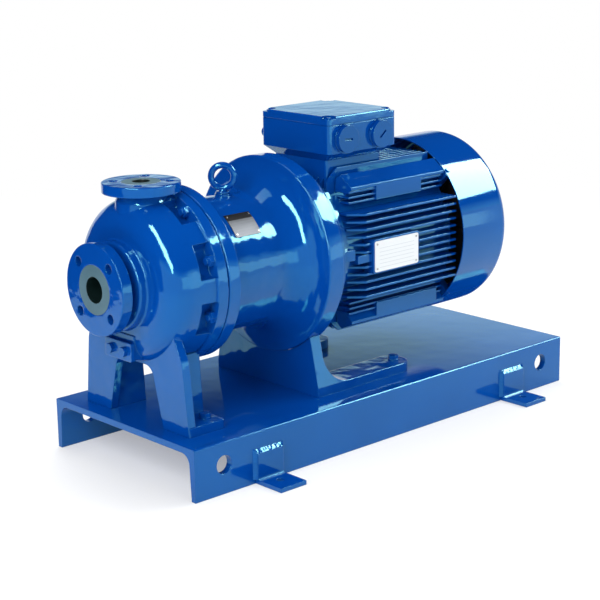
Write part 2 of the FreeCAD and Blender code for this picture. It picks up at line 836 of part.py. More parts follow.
def casing_screws():
    # Hexagon nuts on studs that tie the casing ring to the lantern
    body = machine_body("casing_screws", group=True)
    nuts = new_sketch(body, "YZ_Plane", dim.casing_ring_x + 2)
    studs = new_sketch(body, "YZ_Plane", dim.casing_ring_x - 12)
    for angle in screw_angles:
        across, up = around(dim.casing_screw_circle / 2, angle)
        hexagon(nuts, across, up, dim.casing_screw_diameter * 0.9)
        circle(studs, across, up, dim.casing_screw_diameter / 2)
    pad(body, nuts, dim.casing_screw_diameter * 0.8, reverse=True)
    pad(body, studs, dim.lantern_flange_x - dim.casing_ring_x + 8)


def lantern():
    body = machine_body("lantern")
    start_x = dim.parting_x + dim.parting_gap
    ring = dim.casing_ring_diameter / 2
    shell = dim.lantern_diameter / 2
    disc = dim.lantern_disc_diameter / 2
    inside = shell - dim.lantern_wall
    pilot = dim.pilot_diameter / 2 + dim.clearance
    mouth = dim.outer_rotor_diameter / 2 + 6
    section = new_sketch(body, "XZ_Plane")
    outline(section, [
        (start_x, mouth), (start_x, ring, 2), (dim.lantern_flange_x, ring, 2),
        (dim.lantern_flange_x, shell, 5), (dim.lantern_disc_x, shell, dim.lantern_flare),
        (dim.lantern_disc_x, disc, 3), (dim.motor_flange_x, disc, 2), (dim.motor_flange_x, pilot),
        (dim.motor_flange_x - dim.pilot_depth, pilot), (dim.motor_flange_x - dim.pilot_depth, inside),
        (dim.lantern_flange_x - 4, inside), (dim.lantern_flange_x - 4, mouth),
    ])
    revolve(body, section)
    boss = new_sketch(body, "XY_Plane", inside + 4)
    circle(boss, dim.eyebolt_x, 0, 15)
    pad(body, boss, dim.lantern_wall)
    bore = new_sketch(body, "XY_Plane", inside + 4 + dim.lantern_wall)
    circle(bore, dim.eyebolt_x, 0, eyebolt_shank + 0.05)
    pocket(body, bore, dim.lantern_wall + 8)
    studs = new_sketch(body, "YZ_Plane", start_x)
    for angle in screw_angles:
        across, up = around(dim.casing_screw_circle / 2, angle)
        circle(studs, across, up, dim.casing_screw_diameter / 2 + 0.05)
    pocket(body, studs, dim.lantern_flange_x - start_x, reverse=True)
    holes = new_sketch(body, "YZ_Plane", dim.motor_flange_x)
    for angle in flange_angles:
        across, up = around(dim.motor_flange_bolt_circle / 2, angle)
        circle(holes, across, up, dim.motor_flange_bolt_diameter / 2 + 0.05)
    pocket(body, holes, 26)


def lantern_foot():
    # Two rounded slabs with upright arms, and a web plate between the arms
    body = machine_body("lantern_foot")
    floor = -dim.axis_rise
    seat = dim.lantern_disc_diameter / 2 + 0.2
    arm_x = dim.foot_x + dim.foot_arm_depth
    end_x = dim.foot_x + dim.foot_length
    width = dim.foot_outside - dim.foot_inside
    web = new_sketch(body, "YZ_Plane", dim.foot_x)
    box_outline(web, -dim.foot_outside, dim.foot_outside, floor, -seat * 0.6)
    pad(body, web, dim.foot_plate)
    knee_x = arm_x + dim.foot_fillet + 1
    slabs = new_sketch(body, "XY_Plane", floor)
    for side in (-1, 1):
        low, high = ordered(dim.foot_inside * side, dim.foot_outside * side)
        outline(slabs, [
            (dim.foot_x, low), (end_x, low, width * 0.48), (end_x, high, width * 0.48), (dim.foot_x, high),
        ])
        flank = new_sketch(body, "XZ_Plane", -dim.foot_inside * side)
        outline(flank, [
            (dim.foot_x, floor), (knee_x, floor), (knee_x, floor + dim.foot_slab),
            (arm_x, floor + dim.foot_slab, dim.foot_fillet), (arm_x, -seat * 0.6), (dim.foot_x, -seat * 0.6),
        ])
        pad(body, flank, width, reverse=side > 0)
    pad(body, slabs, dim.foot_slab)
    saddle = new_sketch(body, "YZ_Plane", dim.foot_x)
    circle(saddle, 0, 0, seat)
    pocket(body, saddle, dim.foot_arm_depth + 2, reverse=True)
    lean = new_sketch(body, "YZ_Plane", dim.foot_x)
    for side in (-1, 1):
        outer = (dim.foot_outside + 5) * side
        outline(lean, [
            (dim.foot_outside * side, floor + dim.foot_slab), (outer, floor + dim.foot_slab),
            (outer, -seat * 0.6), (dim.foot_top_outside * side, -seat * 0.6),
        ])
    pocket(body, lean, knee_x - dim.foot_x, reverse=True)
    ends = new_sketch(body, "XY_Plane", floor)
    for side in (-1, 1):
        middle = (dim.foot_outside + dim.foot_inside) / 2 * side
        circle(ends, end_x - dim.lantern_bolt_inset, middle, foot_bolt + 1)
    pocket(body, ends, dim.foot_slab, reverse=True)


def round_edges(body, radius, wanted):
    base = body.Tip
    names = []
    for index, edge in enumerate(base.Shape.Edges, 1):
        if wanted(edge):
            names.append(f"Edge{index}")
    fillet = body.newObject("PartDesign::Fillet", f"{body.Name}_fillet{len(body.Group)}")
    fillet.Base = (base, names)
    bind(fillet, "Radius", radius)
    return finish(body, fillet, -1)


def foot_places():
    for side in (-1, 1):
        yield dim.foot_bolt_x, dim.foot_bolt_y * side, dim.pad_thickness
        across = (dim.foot_outside + dim.foot_inside) / 2 * side
        yield dim.foot_x + dim.foot_length - dim.lantern_bolt_inset, across, dim.foot_slab


def foot_screws():
    # Hexagon screws through the pads and the web, with a washer at each end and a nut below
    body = machine_body("foot_screws", group=True)
    floor = -dim.axis_rise
    below = floor - dim.web_thickness
    washer = dim.foot_washer_thickness
    for along, across, thickness in foot_places():
        top = floor + thickness
        stack = (
            (circle, dim.foot_washer_radius, top, washer, False),
            (hexagon, dim.foot_hexagon_radius, top + washer, dim.foot_head_height, False),
            (circle, dim.foot_washer_radius, below, washer, True),
            (hexagon, dim.foot_hexagon_radius, below - washer, dim.foot_nut_height, True),
        )
        for shape, radius, height, length, reverse in stack:
            layer = new_sketch(body, "XY_Plane", height)
            shape(layer, along, across, radius)
            pad(body, layer, length, reverse=reverse)
        shank = new_sketch(body, "XY_Plane", below - dim.foot_shank_drop)
        circle(shank, along, across, foot_bolt)
        pad(body, shank, thickness + dim.web_thickness + dim.foot_shank_drop + 1)


def eyebolt():
    body = new_body("eyebolt", front_x + dim.eyebolt_x, 0, axis_z + dim.lantern_diameter / 2)
    body.Placement = FreeCAD.Placement(body.Placement.Base, FreeCAD.Rotation(FreeCAD.Vector(0, 0, 1), -45))
    seat = as_size(4)
    bottom = dim.eye_rise - dim.eye_ring_diameter / 2
    stem = new_sketch(body, "XZ_Plane")
    outline(stem, [
        (0, -8), (eyebolt_shank, -8), (eyebolt_shank, seat), (13, seat, 1), (13, seat + 4, 1),
        (7, seat + 4, 2), (5.5, bottom), (0, bottom),
    ])
    revolve(body, stem, "V_Axis")
    ring = new_sketch(body, "YZ_Plane", 0, 0, dim.eye_rise)
    circle(ring, 0, dim.eye_ring_diameter / 2, dim.eye_wire / 2)
    revolve(body, ring)


def pump_plate():
    # Thin plate curved round the lantern
    body = machine_body("pump_plate")
    inner = dim.lantern_diameter / 2 + 0.05
    band = new_sketch(body, "YZ_Plane", dim.pump_plate_x)
    start = 90 + dim.pump_plate_start
    arc_band(band, 0, 0, inner, inner + dim.plate_thickness, start, start + dim.pump_plate_sweep)
    pad(body, band, dim.pump_plate_length)


def ring_body(name, profile, make=machine_body):
    body = make(name)
    section = new_sketch(body, "XZ_Plane")
    outline(section, profile)
    revolve(body, section)
    return body


def can_liner():
    # Plastic inner can, drawn forward behind the impeller
    bore = dim.can_bore_diameter / 2
    outer = bore + dim.can_lining_wall
    clamp = dim.clamp_recess_diameter / 2 - dim.clearance
    chamber = dim.casing_bore_diameter / 2 - dim.lining_wall - 1
    flange_x = dim.parting_x - dim.clamp_recess_depth + dim.lining_face_thickness
    front_x_local = dim.discharge_x + 18
    boss = dim.bush_outside_diameter / 2
    pin = dim.stationary_shaft_diameter / 2 + dim.running_fit
    seat_x = dim.inner_rotor_end_x + 5
    wall = dim.lining_wall
    ring_body("can_liner", [
        (front_x_local, bore), (front_x_local, chamber, 8), (flange_x, chamber), (flange_x, clamp),
        (flange_x + 4, clamp), (flange_x + 4, chamber - wall), (front_x_local + wall, chamber - wall, 4),
        (front_x_local + wall, outer, 3), (dim.can_end_x, outer, 4), (dim.can_end_x, 0),
        (dim.can_end_x - wall, 0), (dim.can_end_x - wall, pin), (seat_x, pin), (seat_x, boss),
        (dim.can_end_x - wall, boss + 2), (dim.can_end_x - wall, bore, 3),
    ])


def containment_shell():
    # Fibre composite can that carries the pressure
    inner = dim.can_bore_diameter / 2 + dim.can_lining_wall + dim.clearance
    outer = inner + dim.can_wall
    clamp = dim.clamp_recess_diameter / 2 - dim.clearance
    flange_x = dim.parting_x - dim.clamp_recess_depth + dim.lining_face_thickness + 4
    face_x = dim.parting_x + dim.parting_gap
    end_x = dim.can_end_x + dim.clearance
    ring_body("containment_shell", [
        (flange_x, inner), (flange_x, clamp), (face_x, clamp), (face_x, outer, 3),
        (end_x + dim.can_wall, outer, 6), (end_x + dim.can_wall, 0), (end_x, 0), (end_x, inner),
    ])


def stationary_shaft():
    end_x = dim.can_end_x - dim.lining_wall
    pin = dim.stationary_shaft_diameter / 2
    start_x = dim.shaft_support_x + 6
    ring_body("stationary_shaft", [(start_x, 0), (start_x, pin, 1), (end_x, pin, 1), (end_x, 0)])


def shaft_support():
    # Streamlined hub on three ribs in the suction passage
    body = machine_body("shaft_support")
    pin = dim.stationary_shaft_diameter / 2 + dim.running_fit
    outside = pin + 5
    start_x = dim.shaft_support_x + 6
    section = new_sketch(body, "XZ_Plane")
    outline(section, [
        (start_x - 16, 0), (start_x - 8, outside - 8, 8), (start_x + 4, outside, 8),
        (dim.thrust_ring_x, outside), (dim.thrust_ring_x, pin), (start_x, pin), (start_x, 0),
    ])
    revolve(body, section)
    rib = new_sketch(body, "XY_Plane")
    box_outline(rib, start_x, start_x + 15, outside - 2, dim.eye_diameter / 2 - 0.3, 1)
    blade = pad(body, rib, 6, centred=True)
    repeat_round(body, [blade], 3)


def bearing_bushes():
    body = machine_body("bearing_bushes", group=True)
    section = new_sketch(body, "XZ_Plane")
    pin = dim.stationary_shaft_diameter / 2 + dim.running_fit
    outside = dim.bush_outside_diameter / 2
    front = dim.thrust_ring_x + dim.thrust_ring_width + 0.5
    rear = dim.inner_rotor_end_x - 5.5
    for start, stop in ((front, front + 40), (rear - 30, rear)):
        outline(section, [(start, pin), (start, outside, 1), (stop, outside, 1), (stop, pin)])
    revolve(body, section)


def thrust_rings():
    body = machine_body("thrust_rings", group=True)
    section = new_sketch(body, "XZ_Plane")
    pin = dim.stationary_shaft_diameter / 2 + dim.running_fit
    outside = dim.bush_outside_diameter / 2 - 1
    rear = dim.inner_rotor_end_x - 5
    for start in (dim.thrust_ring_x, rear):
        box_outline(section, start, start + dim.thrust_ring_width, pin, outside)
    revolve(body, section)


def impeller():
    # Closed impeller: two shrouds with backward curved blades between them
    body = machine_body("impeller", group=True)
    wheel = dim.impeller_diameter / 2
    eye = dim.impeller_eye_diameter / 2
    bush = dim.bush_outside_diameter / 2 + dim.clearance
    inlet_x = dim.discharge_x - dim.outlet_width / 2
    back_x = dim.discharge_x + dim.outlet_width / 2
    blade = new_sketch(body, "YZ_Plane", inlet_x - 4)
    half = dim.blade_thickness / 2
    reach = wheel * 0.79
    arc_band(blade, -wheel * 0.238, -wheel * 0.476, reach - half, reach + half, -33, 37)
    vane = pad(body, blade, dim.outlet_width + 6)
    repeat_round(body, [vane], int(dim.blade_count.number))
    shrouds = new_sketch(body, "XZ_Plane")
    outline(shrouds, [
        (80, eye), (80, eye + 4.5), (inlet_x - 12, eye + 4.5, 4), (inlet_x - 3, wheel), (inlet_x, wheel),
        (inlet_x - 7, eye + 8, 6), (inlet_x - 14, eye, 4),
    ])
    outline(shrouds, [
        (inlet_x, bush), (inlet_x, bush + 3, 1), (back_x, wheel * 0.62, 30), (back_x, wheel),
        (back_x + 6, wheel), (back_x + 6, dim.hub_diameter / 2, 4), (dim.hub_end_x, dim.hub_diameter / 2),
        (dim.hub_end_x, bush),
    ])
    revolve(body, shrouds)
    trim = new_sketch(body, "XZ_Plane")
    box_outline(trim, inlet_x - 10, back_x + 10, wheel, wheel + 10)
    groove(body, trim)


def magnet_band(body, plane_x, inner, outer, length):
    # Curved magnets with a small gap between neighbours
    band = new_sketch(body, "YZ_Plane", plane_x)
    count = dim.magnet_count
    arc_band(band, 0, 0, inner, outer, 1, 360 / count - 1)
    segment = pad(body, band, length)
    repeat_round(body, [segment], int(count.number))


def inner_magnet_rotor():
    outer = dim.inner_rotor_diameter / 2
    bush = dim.bush_outside_diameter / 2 + dim.clearance
    seat = outer - 2 - dim.inner_magnet_thickness
    start, stop = dim.magnet_start_x, dim.magnet_start_x + dim.magnet_length
    ring_body("inner_magnet_rotor", [
        (dim.hub_end_x, bush), (dim.hub_end_x, dim.hub_diameter / 2 + 4, 2), (start - 16, outer - 2, 3),
        (start, outer - 2), (start, seat), (stop, seat), (stop, outer - 2),
        (dim.inner_rotor_end_x, outer - 2), (dim.inner_rotor_end_x, bush),
    ])


def inner_magnets():
    body = machine_body("inner_magnets", group=True)
    outer = dim.inner_rotor_diameter / 2 - 2
    magnet_band(body, dim.magnet_start_x, outer - dim.inner_magnet_thickness, outer, dim.magnet_length)


def inner_rotor_sleeve():
    # Thin jacket over the inner magnets
    outer = dim.inner_rotor_diameter / 2
    start = dim.magnet_start_x - 10
    ring_body("inner_rotor_sleeve", [
        (start, outer - 2 + dim.clearance), (start, outer), (dim.inner_rotor_end_x, outer),
        (dim.inner_rotor_end_x, outer - 2 + dim.clearance),
    ])


def outer_magnet_rotor():
    # Steel cup on the motor shaft
    outer = dim.outer_rotor_diameter / 2
    bore = dim.outer_magnet_bore / 2 + dim.outer_magnet_thickness
    hub = dim.outer_rotor_hub_diameter / 2
    shaft = dim.shaft_diameter / 2 + dim.running_fit
    back = dim.outer_rotor_back_x
    hub_end = back + 83
    ring_body("outer_magnet_rotor", [
        (dim.outer_rotor_x, bore), (dim.outer_rotor_x, outer, 2), (back + 12, outer, 4), (back + 12, hub, 6),
        (hub_end, hub, 2), (hub_end, shaft), (back, shaft), (back, bore, 3),
    ])


def outer_magnets():
    body = machine_body("outer_magnets", group=True)
    bore = dim.outer_magnet_bore / 2
    outer = bore + dim.outer_magnet_thickness - dim.running_fit
    magnet_band(body, dim.magnet_start_x, bore, outer, dim.magnet_length)


def motor_shaft():
    core = dim.shaft_core_diameter / 2
    end = dim.shaft_diameter / 2
    seat = dim.bearing_bore / 2
    fan = dim.fan_seat_diameter / 2
    front, rear = dim.drive_bearing_x, dim.fan_bearing_x
    ring_body("motor_shaft", [
        (dim.shaft_start_x, 0), (dim.shaft_start_x, end, 1), (front, end), (front, seat),
        (front + dim.bearing_width, seat), (front + dim.bearing_width, core), (rear, core), (rear, seat),
        (rear + dim.bearing_width, seat), (rear + dim.bearing_width, fan), (dim.shaft_end_x, fan, 1),
        (dim.shaft_end_x, 0),
    ])


def ball_bearing(name, start):
    # Two races with balls between them
    body = machine_body(name, group=True)
    bore = dim.bearing_bore / 2 + dim.running_fit
    outside = dim.bearing_outside_diameter / 2
    inner_race, outer_race = bore + 8.5, outside - 8.5
    races = new_sketch(body, "XZ_Plane")
    box_outline(races, start, start + dim.bearing_width, bore, inner_race)
    box_outline(races, start, start + dim.bearing_width, outer_race, outside)
    revolve(body, races)
    ball = (outer_race - inner_race) / 2 - 0.1
    middle = (outer_race + inner_race) / 2
    sphere = body.newObject("PartDesign::AdditiveSphere", f"{name}_ball")
    support = [feature for feature in body.Origin.OriginFeatures if feature.Role == "XY_Plane"]
    sphere.AttachmentSupport = [(support[0], "")]
    sphere.MapMode = "FlatFace"
    bind(sphere, "Radius", ball)
    bind(sphere, "AttachmentOffset.Base.x", start + dim.bearing_width / 2)
    bind(sphere, "AttachmentOffset.Base.z", middle)
    finish(body, sphere, 1)
    repeat_round(body, [sphere], 8)


def drive_end_shield():
    # Flange with a pilot, the bearing seat and the shell that meets the frame
    flange = dim.motor_flange_diameter / 2
    start = dim.motor_flange_x
    back = start + dim.motor_flange_thickness
    pilot = dim.pilot_diameter / 2
    seat = dim.bearing_outside_diameter / 2 + dim.running_fit
    bearing_end = dim.drive_bearing_x + dim.bearing_width
    shell = dim.frame_diameter / 2
    body = ring_body("drive_end_shield", [
        (start - dim.pilot_depth, shell - 24), (start - dim.pilot_depth, pilot), (start, pilot),
        (start, flange, 1), (back, flange, 1), (back, shell + 6, 4), (dim.frame_x, shell + 3),
        (dim.frame_x, shell - 10), (back + 4, shell - 6, 4), (back + 4, seat + 12, 4),
        (bearing_end, seat + 12, 2), (bearing_end, seat), (dim.drive_bearing_x, seat),
        (dim.drive_bearing_x, dim.shaft_diameter / 2 + 1), (start, dim.shaft_diameter / 2 + 1),
        (start, shell - 24),
    ])
    holes = new_sketch(body, "YZ_Plane", back)
    for angle in flange_angles:
        across, up = around(dim.motor_flange_bolt_circle / 2, angle)
        circle(holes, across, up, dim.motor_flange_bolt_diameter / 2 + 0.5)
    pocket(body, holes, dim.motor_flange_thickness)
    ears = new_sketch(body, "XY_Plane", -3)
    for side in (-1, 1):
        low, high = ordered((shell - 4) * side, dim.fin_reach * side)
        box_outline(ears, back, dim.frame_x, low, high)
    pad(body, ears, 20)


def fan_end_shield():
    # Rear cover with the bearing seat and four arms that carry the cowl
    body = machine_body("fan_end_shield")
    seat = dim.bearing_outside_diameter / 2 + dim.running_fit
    shell = dim.frame_diameter / 2
    start = dim.frame_end_x
    bearing_end = dim.fan_bearing_x + dim.bearing_width
    section = new_sketch(body, "XZ_Plane")
    outline(section, [
        (start, seat + 12), (start, shell, 1), (start + 9, shell, 3), (start + 9, seat + 14, 4),
        (bearing_end + 6, seat + 12, 3), (bearing_end + 6, dim.fan_seat_diameter / 2 + 1),
        (bearing_end, dim.fan_seat_diameter / 2 + 1), (bearing_end, seat), (dim.fan_bearing_x - 4, seat),
        (dim.fan_bearing_x - 4, seat + 12),
    ])
    revolve(body, section)
    reach = dim.cowl_diameter / 2 - dim.cowl_wall - 0.5
    for angle in cowl_angles:
        turned_pad(body, angle, start + 3, 14, 18, shell - 8, reach)
    for angle in cowl_angles:
        tap = radial_sketch(body, angle, reach + 1)
        circle(tap, cowl_screw_x(), 0, cowl_screw + dim.running_fit)
        pocket(body, tap, 14)


def turned_pad(body, angle, start, length, width, low, high):
    # Radial block at an angle round the shaft axis
    sketch = new_sketch(body, "XZ_Plane")
    turn = FreeCAD.Rotation(FreeCAD.Vector(1, 0, 0), angle)
    sketch.AttachmentOffset = FreeCAD.Placement(FreeCAD.Vector(), turn)
    box_outline(sketch, start, start + length, low, high, 2)
    pad(body, sketch, width, centred=True)


def stator_core():
    bore = dim.air_gap_diameter / 2
    outer = dim.stator_diameter / 2 - dim.clearance
    start, stop = dim.core_x, dim.core_x + dim.core_length
    ring_body("stator_core", [(start, bore), (start, outer), (stop, outer), (stop, bore)])


def stator_windings():
    body = machine_body("stator_windings", group=True)
    section = new_sketch(body, "XZ_Plane")
    inner, outer = dim.air_gap_diameter / 2 + 5, dim.stator_diameter / 2 - 8
    for start in (dim.core_x - dim.winding_overhang, dim.core_x + dim.core_length):
        box_outline(section, start, start + dim.winding_overhang, inner, outer, 7)
    revolve(body, section)


def rotor_core():
    bore = dim.shaft_core_diameter / 2 + dim.running_fit
    outer = dim.air_gap_diameter / 2 - 0.8
    start, stop = dim.core_x, dim.core_x + dim.core_length
    ring_body("rotor_core", [
        (start, bore), (start, outer - 30), (start - 12, outer - 28, 2), (start - 12, outer - 4, 2),
        (start, outer - 3), (start, outer), (stop, outer), (stop, outer - 3), (stop + 12, outer - 4, 2),
        (stop + 12, outer - 28, 2), (stop, outer - 30), (stop, bore),
    ])


def radial_sketch(body, angle, radius):
    # Sketch square to a ray at an angle round the shaft axis
    turn = math.radians(angle)
    sketch = new_sketch(body, "XY_Plane", radius * math.cos(turn), 0, -radius * math.sin(turn))
    sketch.AttachmentOffset = FreeCAD.Placement(
        sketch.AttachmentOffset.Base, FreeCAD.Rotation(FreeCAD.Vector(1, 0, 0), angle))
    return sketch


def repeat_along(body, features, direction, length, count):
    pattern = body.newObject("PartDesign::LinearPattern", f"{body.Name}_row{len(body.Group)}")
    pattern.Originals = features
    axis = [feature for feature in body.Origin.OriginFeatures if feature.Role == direction]
    pattern.Direction = (axis[0], [""])
    bind(pattern, "Length", length)
    pattern.Occurrences = count
    body.Tip = pattern
    document.recompute()
    return pattern


def motor_frame():
    # Finned barrel with foot pads at its four corners and a seat for the terminal box
    body = machine_body("motor_frame")
    shell = dim.frame_diameter / 2
    barrel = new_sketch(body, "XZ_Plane")
    box_outline(barrel, dim.frame_x, dim.frame_end_x, 0, shell)
    revolve(body, barrel)
    for plane, direction, count in (("XY_Plane", "Z_Axis", side_fins), ("XZ_Plane", "Y_Axis", top_fins)):
        row = dim.fin_pitch * (count - 1)
        fins = new_sketch(body, plane, -row / 2 if plane == "XY_Plane" else row / 2)
        for side in (-1, 1):
            outline(fins, [
                (dim.frame_x + 2, side * (shell - 40)), (dim.frame_end_x, side * (shell - 40)),
                (dim.frame_end_x, side * dim.fin_reach),
                (dim.frame_x + dim.fin_taper, side * dim.fin_reach, 6),
                (dim.frame_x + 2, side * (shell - 4)),
            ])
        fin = pad(body, fins, dim.fin_thickness, centred=True)
        repeat_along(body, [fin], direction, row, count)
    shoulders(body)
    corner_fins(body)
    corner_pads(body)
    side_bosses(body)
    seat = new_sketch(body, "XY_Plane", shell - 30)
    box_foot_outline(seat)
    pad(body, seat, dim.box_foot_low - shell + 30)
    plate = new_sketch(body, "XZ_Plane", shell)
    box_outline(plate, dim.motor_plate_x - 3, dim.motor_plate_x + dim.motor_plate_length + 3,
                dim.motor_plate_low - 3, dim.motor_plate_low + dim.motor_plate_height + 3, 4)
    pad(body, plate, dim.motor_plate_y - dim.plate_thickness - shell)
    bore = new_sketch(body, "XZ_Plane")
    box_outline(bore, dim.frame_x, dim.frame_end_x, 0, dim.stator_diameter / 2)
    groove(body, bore)


def box_foot_outline(sketch):
    low = dim.box_x + dim.box_foot_inset
    half = dim.box_foot_width / 2
    box_outline(sketch, low, low + dim.box_foot_length, -half, half, 6)


def corner_fins(body):
    # Three short fins between the side fins and each shoulder
    root = dim.corner_pad_reach - 40
    half = dim.corner_fin_thickness / 2
    fins = new_sketch(body, "YZ_Plane", dim.shoulder_x - 3)
    for level in (-1, 1):
        for place in range(corner_fin_count):
            height = (dim.corner_fin_start + dim.corner_fin_pitch * place) * level
            for side in (-1, 1):
                left, right = ordered(root * side, dim.corner_fin_reach * side)
                box_outline(fins, left, right, height - half, height + half)
    pad(body, fins, dim.frame_end_x - dim.shoulder_x)


def shoulders(body):
    # Sloping bars between the upright and the level fins
    reach = dim.corner_pad_reach
    inside = dim.shoulder_inside
    root_y, root_z = dim.frame_diameter * 0.328, dim.frame_diameter * 0.347
    levels = (
        (1, dim.upper_shoulder_height, dim.upper_pad_high),
        (-1, dim.lower_shoulder_height, dim.lower_pad_high),
    )
    bars = new_sketch(body, "YZ_Plane", dim.shoulder_x)
    for level, height, edge in levels:
        for side in (-1, 1):
            outline(bars, [
                ((inside - 12) * side, (height - 8) * level), (inside * side, height * level),
                (reach * side, edge * level), (reach * side, (edge - 5) * level),
                (root_y * side, root_z * level), ((root_y - 10) * side, (root_z + 10) * level),
            ])
    pad(body, bars, dim.frame_end_x - dim.shoulder_x)


def corner_pads(body):
    for length, near, far in (
        (dim.corner_pad_length, dim.upper_pad_low, dim.upper_pad_high),
        (dim.lower_pad_length, -dim.lower_pad_high, -dim.lower_pad_low),
    ):
        blocks = new_sketch(body, "YZ_Plane", dim.corner_pad_x)
        for side in (-1, 1):
            left, right = ordered((dim.corner_pad_reach - 40) * side, dim.corner_pad_reach * side)
            box_outline(blocks, left, right, near, far, 2)
        pad(body, blocks, length)


def side_bosses(body):
    # A level boss on each side between the fins, from the shield to the plate
    bosses = new_sketch(body, "XY_Plane", dim.side_boss_low)
    for side in (-1, 1):
        low, high = ordered(dim.frame_diameter * 0.45 * side, dim.fin_reach * side)
        box_outline(bosses, dim.frame_x + 7, dim.motor_plate_x, low, high)
    pad(body, bosses, dim.side_boss_high - dim.side_boss_low)


def flange_screws():
    # Hexagon screws through the motor flange into the lantern disc
    body = machine_body("flange_screws", group=True)
    back = dim.motor_flange_x + dim.motor_flange_thickness
    heads = new_sketch(body, "YZ_Plane", back)
    shanks = new_sketch(body, "YZ_Plane", back - dim.motor_flange_screw_grip)
    for angle in flange_angles:
        across, up = around(dim.motor_flange_bolt_circle / 2, angle)
        hexagon(heads, across, up, dim.motor_flange_bolt_diameter * 0.8)
        circle(shanks, across, up, dim.motor_flange_bolt_diameter / 2)
    pad(body, heads, dim.motor_flange_screw_head)
    pad(body, shanks, dim.motor_flange_screw_grip + 1)


def fan():
    body = machine_body("fan")
    bore = dim.fan_seat_diameter / 2 + dim.running_fit
    outer = dim.fan_diameter / 2
    section = new_sketch(body, "XZ_Plane")
    outline(section, [
        (dim.fan_x, bore), (dim.fan_x, bore + 14, 2), (dim.fan_x + 12, bore + 16, 4),
        (dim.fan_x + 12, outer - 10),
        (dim.fan_x + 15, outer - 10), (dim.fan_x + 15, bore + 14, 4), (dim.fan_x + 28, bore + 12, 3),
        (dim.fan_x + 28, bore),
    ])
    revolve(body, section)
    blade = new_sketch(body, "XZ_Plane")
    outline(blade, [
        (dim.fan_x + 2, bore + 10), (dim.fan_x + 2, outer - 12, 10), (dim.fan_x + 8, outer, 3),
        (dim.fan_x + dim.fan_width, outer, 4), (dim.fan_x + dim.fan_width - 6, bore + 30, 10),
        (dim.fan_x + 22, bore + 10),
    ])
    plate = pad(body, blade, 4, centred=True)
    repeat_round(body, [plate], int(dim.fan_blade_count.number))


def fan_cowl():
    # Thin drawn cowl with a ring grille in its end
    body = machine_body("fan_cowl")
    outer = dim.cowl_diameter / 2
    inner = outer - dim.cowl_wall
    end = dim.cowl_end_x
    section = new_sketch(body, "XZ_Plane")
    outline(section, [
        (dim.cowl_x, inner), (dim.cowl_x, outer), (end, outer, dim.cowl_rounding), (end, 0),
        (end - dim.cowl_wall, 0), (end - dim.cowl_wall, inner, dim.cowl_rounding - dim.cowl_wall),
    ])
    revolve(body, section)
    for angle in cowl_angles:
        hole = radial_sketch(body, angle, outer + 2)
        circle(hole, cowl_screw_x(), 0, 3.1)
        pocket(body, hole, 8)
    grille = new_sketch(body, "YZ_Plane", end)
    for ring in range(grille_rings):
        inside = dim.grille_start + dim.grille_pitch * ring
        rib = dim.grille_rib / math.radians(1) / inside
        for sector in range(4):
            begin, stop = 90 * sector + rib, 90 * sector + 90 - rib
            arc_band(grille, 0, 0, inside, inside + dim.grille_slot, begin, stop)
    pocket(body, grille, dim.cowl_wall * 1.5)


def cowl_screw_x():
    return dim.frame_end_x + 10


def cowl_screws():
    body = machine_body("cowl_screws", group=True)
    outer = dim.cowl_diameter / 2
    for angle in cowl_angles:
        head = radial_sketch(body, angle, outer)
        circle(head, cowl_screw_x(), 0, 5)
        pad(body, head, 3)
        shank = radial_sketch(body, angle, outer - 12)
        circle(shank, cowl_screw_x(), 0, cowl_screw)
        pad(body, shank, 13)


def box_sketch(body, height, inset=0, rounding=8):
    sketch = new_sketch(body, "XY_Plane", height)
    half = dim.box_width / 2 - inset
    box_outline(sketch, dim.box_x + inset, dim.box_x + dim.box_length - inset, -half, half, rounding)
    return sketch


def lid_corners():
    inset = 11
    for along in (dim.box_x + inset, dim.box_x + dim.box_length - inset):
        for side in (-1, 1):
            yield along, (dim.box_width / 2 - inset) * side


def plug_places():
    for along in (0, dim.plug_spacing):
        yield dim.box_x + dim.plug_inset + along, dim.plug_height


def terminal_box():
    # Open box on a foot that widens upwards, with posts for the lid screws
    body = machine_body("terminal_box")
    foot = new_sketch(body, "XY_Plane", dim.box_foot_low)
    box_foot_outline(foot)
    loft = add_feature(body, "AdditiveLoft", foot)
    loft.Sections = [box_sketch(body, dim.box_low)]
    loft.Ruled = True
    finish(body, loft, 1)
    pad(body, box_sketch(body, dim.box_low), dim.box_lid_line - dim.box_low)
    floor = dim.box_low + dim.box_wall
    pocket(body, box_sketch(body, dim.box_lid_line, dim.box_wall, 4), dim.box_lid_line - floor)
    posts = new_sketch(body, "XY_Plane", floor - 1)
    for along, across in lid_corners():
        circle(posts, along, across, 8)
    pad(body, posts, dim.box_lid_line - floor + 1)
    holes = new_sketch(body, "XY_Plane", dim.box_lid_line)
    for along, across in lid_corners():
        circle(holes, along, across, 2.6)
    pocket(body, holes, 22)
    entries = new_sketch(body, "XZ_Plane", dim.box_width / 2)
    for along, height in plug_places():
        circle(entries, along, height, dim.plug_hole_diameter / 2)
    pocket(body, entries, dim.box_wall + 2)
    rear = new_sketch(body, "XZ_Plane", -dim.box_width / 2)
    along, up = dim.box_x + dim.rear_plug_inset, dim.box_low + dim.rear_plug_rise
    circle(rear, along, up, dim.rear_plug_radius + 0.1)
    pocket(body, rear, dim.box_wall + 2, reverse=True)


def terminal_box_gasket():
    body = machine_body("terminal_box_gasket")
    outer = box_sketch(body, dim.box_lid_line, 0.5, 8)
    half = dim.box_width / 2 - dim.box_wall
    box_outline(outer, dim.box_x + dim.box_wall, dim.box_x + dim.box_length - dim.box_wall, -half, half, 4)
    pad(body, outer, dim.gasket_thickness)


